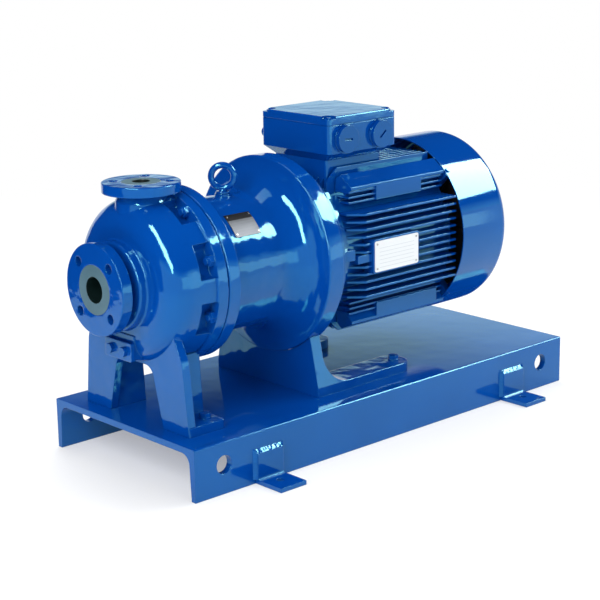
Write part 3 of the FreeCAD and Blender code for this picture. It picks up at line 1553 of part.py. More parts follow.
def terminal_box_lid():
    body = machine_body("terminal_box_lid")
    under = dim.box_lid_line + dim.gasket_thickness
    pad(body, box_sketch(body, under), dim.box_high - under)
    pocket(body, box_sketch(body, under, dim.box_wall + 10, 8), 7, reverse=True)
    holes = new_sketch(body, "XY_Plane", dim.box_high)
    for along, across in lid_corners():
        circle(holes, along, across, 2.8)
    pocket(body, holes, dim.box_high - under)
    top = dim.box_high.number - 0.001
    round_edges(body, as_size(3), lambda edge: edge.BoundBox.ZMin > top and edge.Length > 20)
    corners = new_sketch(body, "XY_Plane", dim.box_high)
    for along, across in lid_corners():
        circle(corners, along, across, dim.lid_corner_radius)
    pocket(body, corners, dim.lid_corner_depth)


def lid_screws():
    body = machine_body("lid_screws", group=True)
    seat = dim.box_high - dim.lid_corner_depth
    heads = new_sketch(body, "XY_Plane", seat)
    shanks = new_sketch(body, "XY_Plane", dim.box_lid_line - 18)
    for along, across in lid_corners():
        circle(heads, along, across, 4.8)
        circle(shanks, along, across, 2.5)
    pad(body, heads, 3)
    pad(body, shanks, seat - dim.box_lid_line + 19)


def gland_plugs():
    # Slotted plugs in the cable entries, two large ones and a small one behind
    body = machine_body("gland_plugs", group=True)
    wall = dim.box_width / 2
    layers = (
        (wall - dim.box_wall, dim.plug_hole_diameter / 2 - 0.1, dim.box_wall),
        (wall, dim.plug_diameter / 2 + 2, 3), (wall + 3, dim.plug_diameter / 2, 8),
    )
    for shift, radius, length in layers:
        layer = new_sketch(body, "XZ_Plane", shift)
        for along, height in plug_places():
            circle(layer, along, height, radius)
        pad(body, layer, length)
    slots = new_sketch(body, "XZ_Plane", wall + 11)
    for (along, height), angle in zip(plug_places(), slot_angles):
        sine, cosine = math.sin(math.radians(angle)), math.cos(math.radians(angle))
        outline(slots, [
            (along + across * cosine - up * sine, height + across * sine + up * cosine)
            for across, up in ((-10, -2), (10, -2), (10, 2), (-10, 2))
        ])
    pocket(body, slots, 3)
    shank = dim.rear_plug_radius
    small = ((wall - dim.box_wall, shank, dim.box_wall + 1), (wall, shank + 5, 5), (wall + 5, shank + 2, 18))
    for shift, radius, length in small:
        layer = new_sketch(body, "XZ_Plane", -shift)
        circle(layer, dim.box_x + dim.rear_plug_inset, dim.box_low + dim.rear_plug_rise, radius)
        pad(body, layer, length, reverse=True)


def stud_places():
    for column in (-1, 0, 1):
        for side in (-1, 1):
            yield dim.box_x + dim.box_length / 2 + dim.terminal_spacing * column, dim.terminal_row * side


def terminal_board():
    body = machine_body("terminal_board")
    board = new_sketch(body, "XY_Plane", dim.box_low + dim.box_wall)
    middle = dim.box_x + dim.box_length / 2
    long, wide = dim.board_length / 2, dim.board_width / 2
    box_outline(board, middle - long, middle + long, -wide, wide, 3)
    pad(body, board, dim.board_thickness)


def terminal_studs():
    body = machine_body("terminal_studs", group=True)
    base = dim.box_low + dim.box_wall + dim.board_thickness
    studs = new_sketch(body, "XY_Plane", base)
    nuts = new_sketch(body, "XY_Plane", base + 2)
    for along, across in stud_places():
        circle(studs, along, across, 3)
        hexagon(nuts, along, across, as_size(5.8))
    pad(body, studs, dim.terminal_stud_length)
    pad(body, nuts, 5)


def motor_plate():
    body = machine_body("motor_plate")
    plate = new_sketch(body, "XZ_Plane", dim.motor_plate_y - dim.plate_thickness)
    box_outline(plate, dim.motor_plate_x, dim.motor_plate_x + dim.motor_plate_length,
                dim.motor_plate_low, dim.motor_plate_low + dim.motor_plate_height, 4)
    pad(body, plate, dim.plate_thickness)


def plate_rivets():
    body = machine_body("plate_rivets", group=True)
    rivets = new_sketch(body, "XZ_Plane", dim.motor_plate_y)
    for along in (6, dim.motor_plate_length - 6):
        for height in (6, dim.motor_plate_height - 6):
            circle(rivets, dim.motor_plate_x + along, dim.motor_plate_low + height, 2)
    pad(body, rivets, 0.8)
    outer = dim.lantern_diameter / 2 + dim.plate_thickness + 0.1
    first = dim.pump_plate_start.number + 2.5
    last = (dim.pump_plate_start + dim.pump_plate_sweep).number - 2.5
    for angle in (first, last):
        for along in (4, dim.pump_plate_length - 4):
            rivet = radial_sketch(body, angle, outer)
            circle(rivet, dim.pump_plate_x + along, 0, 1.6)
            pad(body, rivet, 0.8)


makers = (
    base_channel, base_lugs, weld_beads, volute_casing, casing_liner, drain_cover, drain_cover_screws,
    casing_screws, lantern, lantern_foot, foot_screws, eyebolt, pump_plate, can_liner, containment_shell,
    stationary_shaft, shaft_support, bearing_bushes, thrust_rings, impeller, inner_magnet_rotor,
    inner_magnets, inner_rotor_sleeve, outer_magnet_rotor, outer_magnets, motor_shaft, drive_end_shield,
    fan_end_shield, stator_core, stator_windings, rotor_core, motor_frame, flange_screws, fan, fan_cowl,
    cowl_screws, terminal_box, terminal_box_gasket, terminal_box_lid, lid_screws, gland_plugs, terminal_board,
    terminal_studs, motor_plate, plate_rivets,
)
for maker in makers:
    maker()
ball_bearing("drive_end_bearing", dim.drive_bearing_x)
ball_bearing("fan_end_bearing", dim.fan_bearing_x)

# Check of every object, then one file for each sub-part
document.recompute()
for thing in document.Objects:
    if "Invalid" in thing.State or "Error" in thing.State:
        raise ValueError(f"{thing.Name} failed: {thing.State}")
    if thing.isDerivedFrom("Sketcher::SketchObject") and not thing.FullyConstrained:
        raise ValueError(f"{thing.Name} is not fully constrained")
os.makedirs("parts", exist_ok=True)
for thing in document.Objects:
    if not thing.isDerivedFrom("PartDesign::Body"):
        continue
    if thing.Shape.isNull() or not thing.Shape.isValid():
        raise ValueError(f"{thing.Label} has no valid shape")
    thing.Shape.exportStep(f"parts/{thing.Label}.step")
    print(thing.Label, len(thing.Shape.Solids), round(thing.Shape.Volume), thing.Shape.BoundBox)
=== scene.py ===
import json
import math

import bpy
from mathutils import Matrix, Vector


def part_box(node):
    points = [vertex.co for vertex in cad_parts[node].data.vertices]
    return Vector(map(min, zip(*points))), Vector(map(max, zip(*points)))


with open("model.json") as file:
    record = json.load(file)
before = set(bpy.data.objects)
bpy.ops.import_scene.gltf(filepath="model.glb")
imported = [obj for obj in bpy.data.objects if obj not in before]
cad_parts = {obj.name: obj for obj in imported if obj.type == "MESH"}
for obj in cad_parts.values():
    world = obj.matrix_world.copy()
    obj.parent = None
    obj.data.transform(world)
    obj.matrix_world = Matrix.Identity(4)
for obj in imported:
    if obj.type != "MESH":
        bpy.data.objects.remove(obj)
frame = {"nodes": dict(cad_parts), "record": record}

nodes = frame["nodes"]  # X runs along the shaft, Z is up, metres
mounts = {mount["name"]: mount["pos_m"] for mount in frame["record"]["mounts"]}
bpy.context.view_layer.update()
print("frame loaded,", len(nodes), "nodes")


def newMaterial(name):
    material = bpy.data.materials.new(name)
    material.use_nodes = True
    tree = material.node_tree
    return material, tree, tree.nodes["Principled BSDF"]


def addNode(tree, kind, **values):
    node = tree.nodes.new(kind)
    for key, value in values.items():
        if hasattr(node, key):
            setattr(node, key, value)
        else:
            node.inputs[key.replace("_", " ")].default_value = value
    return node


def objectPlace(tree, scale=(1, 1, 1), turn=(0, 0, 0)):
    place = addNode(tree, "ShaderNodeTexCoord")
    mapping = addNode(tree, "ShaderNodeMapping")
    mapping.inputs["Scale"].default_value = scale
    mapping.inputs["Rotation"].default_value = turn
    tree.links.new(place.outputs["Object"], mapping.inputs["Vector"])
    return mapping.outputs["Vector"]


def objectNoise(tree, scale, detail=3.0, roughness=0.5, stretch=(1, 1, 1)):
    noise = addNode(tree, "ShaderNodeTexNoise", Scale=scale, Detail=detail, Roughness=roughness)
    tree.links.new(objectPlace(tree, stretch), noise.inputs["Vector"])
    return noise.outputs["Fac"]


def blendColours(tree, factor, first, second, spread=(0.3, 0.7)):
    ramp = addNode(tree, "ShaderNodeValToRGB")
    for element, colour, position in zip(ramp.color_ramp.elements, (first, second), spread):
        element.color = (*colour, 1)
        element.position = position
    tree.links.new(factor, ramp.inputs["Fac"])
    return ramp.outputs["Color"]


def spreadValue(tree, factor, low, high):
    # Most of a noise lies between 0.3 and 0.7
    spread = addNode(tree, "ShaderNodeMapRange")
    spread.inputs["From Min"].default_value = 0.3
    spread.inputs["From Max"].default_value = 0.7
    spread.inputs["To Min"].default_value = low
    spread.inputs["To Max"].default_value = high
    tree.links.new(factor, spread.inputs["Value"])
    return spread.outputs["Result"]


def layeredBump(tree, layers, edge=0.0):
    # Bumps in a chain, the first one over softened edges
    normal = None
    if edge:
        rounded = addNode(tree, "ShaderNodeBevel", samples=4)
        rounded.inputs["Radius"].default_value = edge
        normal = rounded.outputs["Normal"]
    for height, distance, strength in layers:
        bump = addNode(tree, "ShaderNodeBump", Distance=distance, Strength=strength)
        tree.links.new(height, bump.inputs["Height"])
        if normal is not None:
            tree.links.new(normal, bump.inputs["Normal"])
        normal = bump.outputs["Normal"]
    return normal


enamelLook = {
    "light": (0.0006, 0.060, 0.335),
    "deep": (0.0004, 0.048, 0.285),
    "gloss": (0.045, 0.075),  # lowest and highest roughness
    "specular": 0.85,
    "tint": (0.24, 0.96, 1.0),
    "cloudScale": 5.0,
    "waveScale": 24.0,
    "waveDistance": 0.004,
    "runScale": 70.0,  # small sags between the waves
    "runDistance": 0.0005,
    "peelScale": 240.0,
    "peelDistance": 0.0005,
}


def makeEnamel(name, waviness, peel, edge=0.0014, light=None, deep=None):
    # Thick gloss paint: slow waves of the metal under it, fine orange peel
    material, tree, shader = newMaterial(name)
    cloud = objectNoise(tree, enamelLook["cloudScale"], 2.0)
    colour = blendColours(tree, cloud, deep or enamelLook["deep"], light or enamelLook["light"])
    tree.links.new(colour, shader.inputs["Base Color"])
    tree.links.new(spreadValue(tree, cloud, *enamelLook["gloss"]), shader.inputs["Roughness"])
    shader.inputs["Specular IOR Level"].default_value = enamelLook["specular"]
    shader.inputs["Specular Tint"].default_value = (*enamelLook["tint"], 1)
    wave = objectNoise(tree, enamelLook["waveScale"], 1.5, 0.45)
    run = objectNoise(tree, enamelLook["runScale"], 1.0)
    peelNoise = objectNoise(tree, enamelLook["peelScale"], 2.0)
    normal = layeredBump(tree, [
        (wave, enamelLook["waveDistance"], waviness),
        (run, enamelLook["runDistance"], waviness),
        (peelNoise, enamelLook["peelDistance"], peel),
    ], edge)
    tree.links.new(normal, shader.inputs["Normal"])
    return material


castEnamel = makeEnamel("castEnamel", waviness=0.42, peel=0.08, edge=0.0025)
sheetEnamel = makeEnamel("sheetEnamel", waviness=0.035, peel=0.04)
motorEnamel = makeEnamel("motorEnamel", waviness=0.12, peel=0.08)
screwEnamel = makeEnamel("screwEnamel", waviness=0.10, peel=0.10, edge=0.0008)
plugEnamel = makeEnamel("plugEnamel", waviness=0.03, peel=0.04, edge=0.001,
                        light=(0.0006, 0.05, 0.29), deep=(0.0004, 0.038, 0.24))


weldLook = {
    "cloudScale": 30.0,
    "gloss": (0.08, 0.16),
    "rippleStretch": (1, 0.6, 1),
    "rippleScale": 190.0,
    "rippleDistance": 0.0012,
    "rippleStrength": 0.9,
}


def makeWeldEnamel():
    # The same paint over the scales of a hand-laid weld
    material, tree, shader = newMaterial("weldEnamel")
    cloud = objectNoise(tree, weldLook["cloudScale"], 2.0)
    colour = blendColours(tree, cloud, enamelLook["deep"], enamelLook["light"])
    tree.links.new(colour, shader.inputs["Base Color"])
    tree.links.new(spreadValue(tree, cloud, *weldLook["gloss"]), shader.inputs["Roughness"])
    shader.inputs["Specular IOR Level"].default_value = enamelLook["specular"]
    shader.inputs["Specular Tint"].default_value = (*enamelLook["tint"], 1)
    scales = addNode(tree, "ShaderNodeTexVoronoi", feature="SMOOTH_F1", Scale=weldLook["rippleScale"])
    tree.links.new(objectPlace(tree, weldLook["rippleStretch"]), scales.inputs["Vector"])
    normal = layeredBump(tree, [
        (scales.outputs["Distance"], weldLook["rippleDistance"], weldLook["rippleStrength"]),
    ])
    tree.links.new(normal, shader.inputs["Normal"])
    return material


weldEnamel = makeWeldEnamel()


mouldedLook = {
    "cloudScale": 14.0,
    "grainScale": 180.0,
    "grain": 0.12,
    "grainDistance": 0.0006,
    "edge": 0.0008,
    "glossSpread": (0.85, 1.15),  # shares of the roughness
}


def mouldedGrain(tree, scale=mouldedLook["grainScale"], grain=mouldedLook["grain"]):
    fine = objectNoise(tree, scale, 4.0, 0.6)
    return layeredBump(tree, [(fine, mouldedLook["grainDistance"], grain)], mouldedLook["edge"])


def makeMoulded(name, light, deep, roughness, **grainValues):
    material, tree, shader = newMaterial(name)
    cloud = objectNoise(tree, mouldedLook["cloudScale"])
    tree.links.new(blendColours(tree, cloud, deep, light), shader.inputs["Base Color"])
    low, high = (roughness * share for share in mouldedLook["glossSpread"])
    tree.links.new(spreadValue(tree, cloud, low, high), shader.inputs["Roughness"])
    normal = mouldedGrain(tree, **grainValues)
    tree.links.new(normal, shader.inputs["Normal"])
    return material


metalLook = {
    "lineScale": 60.0,
    "lineDistance": 0.0004,
    "lineStrength": 0.08,
    "edge": 0.0006,
    "glossSpread": (0.8, 1.2),  # shares of the roughness
}


def makeMetal(name, light, deep, roughness, stretch=(1, 1, 1)):
    # Turned or brushed metal, its fine lines drawn out along one axis
    material, tree, shader = newMaterial(name)
    shader.inputs["Metallic"].default_value = 1.0
    lines = objectNoise(tree, metalLook["lineScale"], 4.0, 0.5, stretch)
    tree.links.new(blendColours(tree, lines, deep, light), shader.inputs["Base Color"])
    low, high = (roughness * share for share in metalLook["glossSpread"])
    tree.links.new(spreadValue(tree, lines, low, high), shader.inputs["Roughness"])
    layers = [(lines, metalLook["lineDistance"], metalLook["lineStrength"])]
    normal = layeredBump(tree, layers, metalLook["edge"])
    tree.links.new(normal, shader.inputs["Normal"])
    return material


liningLook = {
    "light": (0.062, 0.140, 0.185),
    "deep": (0.046, 0.112, 0.150),
    # Painted shade: near-black colour for the lining inside both bores
    "bore": (0.003, 0.013, 0.013),
    "roughness": 0.34,
    "suctionRadius": 0.0237,  # just inside the bore's wall
    "dischargeRadius": 0.0162,
}


def insideBore(tree, axisPoint, spread, radius):
    # 1 nearer to the bore's axis than its wall, 0 outside
    place = addNode(tree, "ShaderNodeTexCoord")
    apart = addNode(tree, "ShaderNodeVectorMath", operation="SUBTRACT")
    apart.inputs[1].default_value = axisPoint
    tree.links.new(place.outputs["Object"], apart.inputs[0])
    across = addNode(tree, "ShaderNodeVectorMath", operation="MULTIPLY")
    across.inputs[1].default_value = spread
    tree.links.new(apart.outputs["Vector"], across.inputs[0])
    length = addNode(tree, "ShaderNodeVectorMath", operation="LENGTH")
    tree.links.new(across.outputs["Vector"], length.inputs[0])
    near = addNode(tree, "ShaderNodeMath", operation="LESS_THAN")
    near.inputs[1].default_value = radius
    tree.links.new(length.outputs["Value"], near.inputs[0])
    return near.outputs[0]


def makeLining():
    # Grey-green moulded lining, with shade painted near-black inside its bores
    material, tree, shader = newMaterial("lining")
    cloud = objectNoise(tree, mouldedLook["cloudScale"])
    bores = addNode(tree, "ShaderNodeMath", operation="MAXIMUM")
    suction = insideBore(tree, mounts["suction_flange"], (0, 1, 1), liningLook["suctionRadius"])
    discharge = insideBore(tree, mounts["discharge_flange"], (1, 1, 0), liningLook["dischargeRadius"])
    tree.links.new(suction, bores.inputs[0])
    tree.links.new(discharge, bores.inputs[1])
    colour = addNode(tree, "ShaderNodeMix", data_type="RGBA")
    tree.links.new(bores.outputs[0], colour.inputs[0])
    tree.links.new(blendColours(tree, cloud, liningLook["deep"], liningLook["light"]), colour.inputs[6])
    # Painted shade: within the bores' mask the lining's colour gives way to near-black
    colour.inputs[7].default_value = (*liningLook["bore"], 1)
    tree.links.new(colour.outputs[2], shader.inputs["Base Color"])
    shader.inputs["Roughness"].default_value = liningLook["roughness"]
    tree.links.new(mouldedGrain(tree), shader.inputs["Normal"])
    return material


lining = makeLining()
darkLining = makeMoulded("darkLining", (0.02, 0.05, 0.045), (0.012, 0.034, 0.032), 0.35)
laminate = makeMoulded("laminate", (0.2, 0.16, 0.1), (0.13, 0.1, 0.07), 0.5, scale=90.0, grain=0.4)
carbide = makeMoulded("carbide", (0.05, 0.05, 0.055), (0.03, 0.03, 0.035), 0.18, scale=300.0, grain=0.03)
blackPlastic = makeMoulded("blackPlastic", (0.012, 0.012, 0.014), (0.007, 0.007, 0.008), 0.42)
varnishedCopper = makeMoulded("varnishedCopper", (0.5, 0.17, 0.05), (0.3, 0.09, 0.03), 0.3, scale=400.0,
                              grain=0.6)
turnedSteel = makeMetal("turnedSteel", (0.6, 0.6, 0.61), (0.45, 0.45, 0.46), 0.28, (0.2, 6, 6))
castSteel = makeMetal("castSteel", (0.3, 0.3, 0.3), (0.2, 0.2, 0.2), 0.5)
zincSteel = makeMetal("zincSteel", (0.5, 0.5, 0.49), (0.36, 0.37, 0.37), 0.3)
magnetSteel = makeMetal("magnetSteel", (0.4, 0.4, 0.41), (0.3, 0.3, 0.3), 0.35)
brass = makeMetal("brass", (0.75, 0.55, 0.22), (0.6, 0.42, 0.16), 0.3)


motorPlateLook = {
    "paper": (0.74, 0.78, 0.80),
    "ink": (0.50, 0.55, 0.60),
    "rows": 8,
    "lineShare": 0.10,  # share of a row that its line takes
    "border": 0.10,  # shares of the plate without lines
    "topBorder": 0.18,
    "roughness": 0.35,
    "grainScale": 500.0,
    "grainDistance": 0.0002,
    "grain": 0.1,
    "edge": 0.0004,
}


def makeMotorPlate():
    # Pale printed plate: nothing but faint ruled lines
    material, tree, shader = newMaterial("motorPlate")
    low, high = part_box("motor_plate")
    place = addNode(tree, "ShaderNodeTexCoord")
    parts = addNode(tree, "ShaderNodeSeparateXYZ")
    tree.links.new(place.outputs["Object"], parts.inputs["Vector"])

    def across(axis, start, end):
        span = addNode(tree, "ShaderNodeMapRange", clamp=False)
        span.inputs["From Min"].default_value = start
        span.inputs["From Max"].default_value = end
        tree.links.new(parts.outputs[axis], span.inputs["Value"])
        return span.outputs["Result"]

    def maths(operation, first, second):
        node = addNode(tree, "ShaderNodeMath", operation=operation)
        for socket, value in zip(node.inputs, (first, second)):
            if isinstance(value, (int, float)):
                socket.default_value = value
            else:
                tree.links.new(value, socket)
        return node.outputs[0]

    along = across("X", low[0], high[0])
    upward = across("Z", low[2], high[2])
    rowShare = maths("FRACT", maths("MULTIPLY", upward, motorPlateLook["rows"]), 0)
    ruled = maths("LESS_THAN", rowShare, motorPlateLook["lineShare"])
    border = motorPlateLook["border"]
    inside = maths("MULTIPLY", maths("GREATER_THAN", along, border), maths("LESS_THAN", along, 1 - border))
    inside = maths("MULTIPLY", inside, maths("LESS_THAN", upward, 1 - motorPlateLook["topBorder"]))
    inside = maths("MULTIPLY", inside, maths("GREATER_THAN", upward, border))
    colour = addNode(tree, "ShaderNodeMix", data_type="RGBA")
    tree.links.new(maths("MULTIPLY", ruled, inside), colour.inputs[0])
    colour.inputs[6].default_value = (*motorPlateLook["paper"], 1)
    colour.inputs[7].default_value = (*motorPlateLook["ink"], 1)
    tree.links.new(colour.outputs[2], shader.inputs["Base Color"])
    shader.inputs["Roughness"].default_value = motorPlateLook["roughness"]
    fine = objectNoise(tree, motorPlateLook["grainScale"], 2.0)
    layers = [(fine, motorPlateLook["grainDistance"], motorPlateLook["grain"])]
    tree.links.new(layeredBump(tree, layers, motorPlateLook["edge"]), shader.inputs["Normal"])
    return material


pumpPlateLook = {
    "metal": (0.12, 0.14, 0.155),
    "band": (0.012, 0.014, 0.016),
    "bandShare": 0.24,
    "bandBlur": 0.0002,
    "darkShare": 0.7,  # of the metal's colour, between the brush lines
    "brushScale": 40.0,
    "brushStretch": (0.4, 1, 18),
    "brushDistance": 0.0003,
    "brushStrength": 0.08,
    "edge": 0.0004,
    "metallic": 0.9,
    "gloss": (0.38, 0.55),
}


def makePumpPlate():
    # Brushed plate with a dark band along its top
    material, tree, shader = newMaterial("pumpPlate")
    low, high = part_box("pump_plate")
    place = addNode(tree, "ShaderNodeTexCoord")
    parts = addNode(tree, "ShaderNodeSeparateXYZ")
    tree.links.new(place.outputs["Object"], parts.inputs["Vector"])
    span = addNode(tree, "ShaderNodeMapRange")
    edge = high[2] - pumpPlateLook["bandShare"] * (high[2] - low[2])
    span.inputs["From Min"].default_value = edge - pumpPlateLook["bandBlur"]
    span.inputs["From Max"].default_value = edge + pumpPlateLook["bandBlur"]
    tree.links.new(parts.outputs["Z"], span.inputs["Value"])
    brushed = objectNoise(tree, pumpPlateLook["brushScale"], 4.0, 0.6, pumpPlateLook["brushStretch"])
    dark = tuple(pumpPlateLook["darkShare"] * part for part in pumpPlateLook["metal"])
    metal = blendColours(tree, brushed, dark, pumpPlateLook["metal"])
    colour = addNode(tree, "ShaderNodeMix", data_type="RGBA")
    tree.links.new(span.outputs["Result"], colour.inputs[0])
    tree.links.new(metal, colour.inputs[6])
    colour.inputs[7].default_value = (*pumpPlateLook["band"], 1)
    tree.links.new(colour.outputs[2], shader.inputs["Base Color"])
    shader.inputs["Metallic"].default_value = pumpPlateLook["metallic"]
    tree.links.new(spreadValue(tree, brushed, *pumpPlateLook["gloss"]), shader.inputs["Roughness"])
    layers = [(brushed, pumpPlateLook["brushDistance"], pumpPlateLook["brushStrength"])]
    tree.links.new(layeredBump(tree, layers, pumpPlateLook["edge"]), shader.inputs["Normal"])
    return material


motorPlate = makeMotorPlate()
pumpPlate = makePumpPlate()

finishes = {
    castEnamel: ["volute_casing", "lantern", "lantern_foot", "eyebolt", "drain_cover"],
    motorEnamel: ["motor_frame", "drive_end_shield", "fan_end_shield", "terminal_box", "terminal_box_lid"],
    sheetEnamel: ["base_channel", "base_lugs", "fan_cowl"],
    screwEnamel: ["casing_screws", "drain_cover_screws", "foot_screws", "flange_screws", "cowl_screws",
                  "lid_screws"],
    weldEnamel: ["weld_beads"],
    lining: ["casing_liner"],
    darkLining: ["can_liner", "impeller", "inner_rotor_sleeve"],
    laminate: ["containment_shell"],
    carbide: ["stationary_shaft", "bearing_bushes", "thrust_rings", "shaft_support"],
    magnetSteel: ["inner_magnets", "outer_magnets"],
    castSteel: ["inner_magnet_rotor", "outer_magnet_rotor", "stator_core", "rotor_core"],
    turnedSteel: ["motor_shaft", "drive_end_bearing", "fan_end_bearing"],
    zincSteel: ["plate_rivets"],
    varnishedCopper: ["stator_windings"],
    blackPlastic: ["fan", "terminal_board"],
    plugEnamel: ["gland_plugs", "terminal_box_gasket"],
    brass: ["terminal_studs"],
    pumpPlate: ["pump_plate"],
    motorPlate: ["motor_plate"],
}
for material, names in finishes.items():
    for name in names:
        for slot in nodes[name].material_slots:
            slot.material = material
print("finishes set on", sum(len(names) for names in finishes.values()), "nodes")


studio = {
    "floorColour": (0.93, 0.935, 0.94),
    "floorHalf": 30,
    "floorDrop": 0.0005,  # below the feet
    "floorRoughness": 0.9,
    "clearRadius": 0.55,  # within it the floor is whitened least, so its shadow shows
    "whiteRadius": 2.6,
    "nearWhite": 0.35,
    "ambient": 0.60,
    "lamps": [
        # name, place, aim, width, height, level (1 is white)
        ("sideLamp", (2.56, -1.25, 2.2), (0.4, -0.15, 0.45), 1.9, 1.4, 5.0),
        ("frontLamp", (0.6, -3.4, 0.9), (0.1, 0, 0.4), 3.6, 1.2, 0.9),
        ("keyLamp", (-2.6, -1.0, 2.0), (-0.1, 0, 0.3), 1.6, 1.6, 7.5),
        ("topLamp", (0.3, 0.6, 3.2), (0.1, 0, 0.4), 2.0, 1.4, 2.4),
        ("backLamp", (1.6, 3.0, 2.0), (0.2, 0, 0.35), 1.8, 1.4, 6.5),
    ],
    "cards": [
        # name, start and end of the middle line, width, colour, level; seen in gloss alone
        ("sideCard", (2.75, -0.35, 2.40), (2.10, -2.05, 2.00), 1.25, (1, 0.93, 0.92), 22.0),
        ("frontCard", (-1.4, -3.2, 0.45), (3.0, -2.6, 0.45), 0.75, (1, 1, 1), 2.4),
        ("stripCard", (-2.09, 0.32, 2.95), (-2.66, -1.96, 1.09), 0.50, (1, 0.80, 0.76), 34.0),
        ("topCard", (-0.9, 0.9, 3.1), (1.3, 0.9, 3.1), 0.8, (1, 1, 1), 1.6),
        ("leftFlag", (-2.1, -0.1, 0.75), (-0.3, 1.7, 0.75), 2.0, (1, 1, 1), 0.01),
    ],
    "cardTarget": (0, 0, 0.35),
    "tentSides": 48,
    "tentRadius": 4.2,
    "tentLow": 1.05,
    "tentDark": 1.55,  # height at which the wall has faded to its dark level
    "tentHigh": 5.5,
    "tentLevels": (1.25, 0.012),
    "tentColour": (0.68, 0.98, 1),
}


def whiteForViewRays(tree):
    # 1 for camera, glossy and transmission rays, 0 for the rest
    rays = addNode(tree, "ShaderNodeLightPath")
    seen = rays.outputs["Is Camera Ray"]
    for name in ("Is Glossy Ray", "Is Transmission Ray"):
        largest = addNode(tree, "ShaderNodeMath", operation="MAXIMUM")
        tree.links.new(seen, largest.inputs[0])
        tree.links.new(rays.outputs[name], largest.inputs[1])
        seen = largest.outputs[0]
    return seen


def makeWorld():
    world = bpy.data.worlds.new("studioWorld")
    world.use_nodes = True
    tree = world.node_tree
    background = tree.nodes["Background"]
    level = addNode(tree, "ShaderNodeMapRange")
    level.inputs["To Min"].default_value = studio["ambient"]
    level.inputs["To Max"].default_value = 1.0
    tree.links.new(whiteForViewRays(tree), level.inputs["Value"])
    tree.links.new(level.outputs["Result"], background.inputs["Strength"])
    background.inputs["Color"].default_value = (1, 1, 1, 1)
    bpy.context.scene.world = world


def addMesh(name, corners, faces, material):
    mesh = bpy.data.meshes.new(name)
    mesh.from_pydata(corners, [], faces)
    mesh.materials.append(material)
    piece = bpy.data.objects.new(name, mesh)
    bpy.context.scene.collection.objects.link(piece)
    return piece


def makeFloor():
    # White to the camera away from the object, an ordinary pale floor to the light
    half = studio["floorHalf"]
    material, tree, shader = newMaterial("studioFloor")
    shader.inputs["Base Color"].default_value = (*studio["floorColour"], 1)
    shader.inputs["Roughness"].default_value = studio["floorRoughness"]
    shader.inputs["Specular IOR Level"].default_value = 0.0
    place = addNode(tree, "ShaderNodeTexCoord")
    distance = addNode(tree, "ShaderNodeVectorMath", operation="LENGTH")
    tree.links.new(place.outputs["Object"], distance.inputs[0])
    fade = addNode(tree, "ShaderNodeMapRange", interpolation_type="SMOOTHSTEP")
    fade.inputs["From Min"].default_value = studio["clearRadius"]
    fade.inputs["From Max"].default_value = studio["whiteRadius"]
    fade.inputs["To Min"].default_value = studio["nearWhite"]
    fade.inputs["To Max"].default_value = 1.0
    tree.links.new(distance.outputs["Value"], fade.inputs["Value"])
    seen = addNode(tree, "ShaderNodeMath", operation="MULTIPLY")
    tree.links.new(fade.outputs["Result"], seen.inputs[0])
    tree.links.new(whiteForViewRays(tree), seen.inputs[1])
    glow = addNode(tree, "ShaderNodeEmission")
    glow.inputs["Color"].default_value = (1, 1, 1, 1)
    mix = addNode(tree, "ShaderNodeMixShader")
    tree.links.new(seen.outputs[0], mix.inputs["Fac"])
    tree.links.new(shader.outputs["BSDF"], mix.inputs[1])
    tree.links.new(glow.outputs["Emission"], mix.inputs[2])
    tree.links.new(mix.outputs["Shader"], tree.nodes["Material Output"].inputs["Surface"])
    corners = [(-half, -half, 0), (half, -half, 0), (half, half, 0), (-half, half, 0)]
    floor = addMesh("studioFloor", corners, [(0, 1, 2, 3)], material)
    floor.location.z = -studio["floorDrop"]


def glowMaterial(name, colour, level):
    material, tree = newMaterial(name)[:2]
    glow = addNode(tree, "ShaderNodeEmission", Strength=level)
    glow.inputs["Color"].default_value = (*colour, 1)
    tree.links.new(glow.outputs["Emission"], tree.nodes["Material Output"].inputs["Surface"])
    return material, glow


def tentMaterial():
    # Pale at the bottom, fading to dark above
    low, high = studio["tentLevels"]
    material, glow = glowMaterial("studioTent", studio["tentColour"], high)
    tree = material.node_tree
    place = addNode(tree, "ShaderNodeTexCoord")
    parts = addNode(tree, "ShaderNodeSeparateXYZ")
    tree.links.new(place.outputs["Object"], parts.inputs["Vector"])
    fade = addNode(tree, "ShaderNodeMapRange")
    fade.inputs["From Min"].default_value = studio["tentLow"]
    fade.inputs["From Max"].default_value = studio["tentDark"]
    fade.inputs["To Min"].default_value = low
    fade.inputs["To Max"].default_value = high
    tree.links.new(parts.outputs["Z"], fade.inputs["Value"])
    tree.links.new(fade.outputs["Result"], glow.inputs["Strength"])
    return material


def glossAlone(piece):
    # Seen in reflections, and neither seen directly nor lighting anything
    piece.visible_camera = False
    piece.visible_diffuse = False
    piece.visible_transmission = False
    piece.visible_shadow = False


def makeTent():
    # The studio's walls and ceiling, pale at their foot and dark above
    sides = studio["tentSides"]
    radius = studio["tentRadius"]
    turns = [2 * math.pi * step / sides for step in range(sides)]
    ring = [(math.cos(turn), math.sin(turn)) for turn in turns]
    corners = [(radius * x, radius * y, studio["tentLow"]) for x, y in ring]
    corners += [(radius * x, radius * y, studio["tentHigh"]) for x, y in ring]
    faces = [(step, (step + 1) % sides, (step + 1) % sides + sides, step + sides) for step in range(sides)]
    faces.append(tuple(range(sides, 2 * sides)))
    glossAlone(addMesh("studioTent", corners, faces, tentMaterial()))


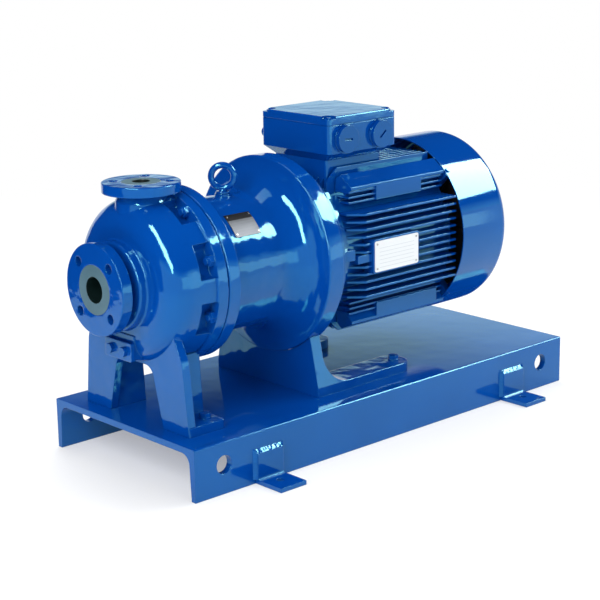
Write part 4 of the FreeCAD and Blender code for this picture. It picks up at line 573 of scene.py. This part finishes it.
def makeCards():
    # Softboxes and one flag as the gloss paint shows them
    target = Vector(studio["cardTarget"])
    for name, start, end, width, colour, level in studio["cards"]:
        start, end = Vector(start), Vector(end)
        across = (end - start).cross(target - start).normalized() * width / 2
        corners = [start - across, end - across, end + across, start + across]
        glossAlone(addMesh(name, corners, [(0, 1, 2, 3)], glowMaterial(name, colour, level)[0]))


def makeLamps():
    # They light the surfaces alone, the cards stand for them in the gloss
    for name, place, aim, width, height, level in studio["lamps"]:
        data = bpy.data.lights.new(name, "AREA")
        data.shape = "RECTANGLE"
        data.size = width
        data.size_y = height
        data.energy = level * math.pi * width * height
        lamp = bpy.data.objects.new(name, data)
        bpy.context.scene.collection.objects.link(lamp)
        lamp.location = place
        lamp.rotation_euler = (Vector(aim) - Vector(place)).to_track_quat("-Z", "Y").to_euler()
        lamp.visible_camera = False
        lamp.visible_glossy = False


cameraView = {
    # Fitted to the photograph: metres, degrees, millimetres
    "place": (-2.0832, -2.2410, 1.0347),
    "yaw": 47.5584,
    "pitch": 14.6454,
    "roll": -0.8826,
    "lens": 97.06,
    "sensorWidth": 36,
}


def makeCamera():
    yaw, pitch, roll = (math.radians(cameraView[key]) for key in ("yaw", "pitch", "roll"))
    forward = Vector((math.cos(yaw) * math.cos(pitch), math.sin(yaw) * math.cos(pitch), -math.sin(pitch)))
    right = Vector((math.sin(yaw), -math.cos(yaw), 0))
    up = right.cross(forward)
    across = right * math.cos(roll) + up * math.sin(roll)
    upward = up * math.cos(roll) - right * math.sin(roll)
    turn = Matrix((across, upward, -forward)).transposed()
    data = bpy.data.cameras.new("photoCamera")
    data.lens = cameraView["lens"]
    data.sensor_width = cameraView["sensorWidth"]
    camera = bpy.data.objects.new("photoCamera", data)
    bpy.context.scene.collection.objects.link(camera)
    camera.matrix_world = Matrix.Translation(cameraView["place"]) @ turn.to_4x4()
    bpy.context.scene.camera = camera


makeWorld()
makeFloor()
makeTent()
makeCards()
makeLamps()
makeCamera()
bpy.context.scene.view_settings.view_transform = "Standard"
print("studio and camera made")
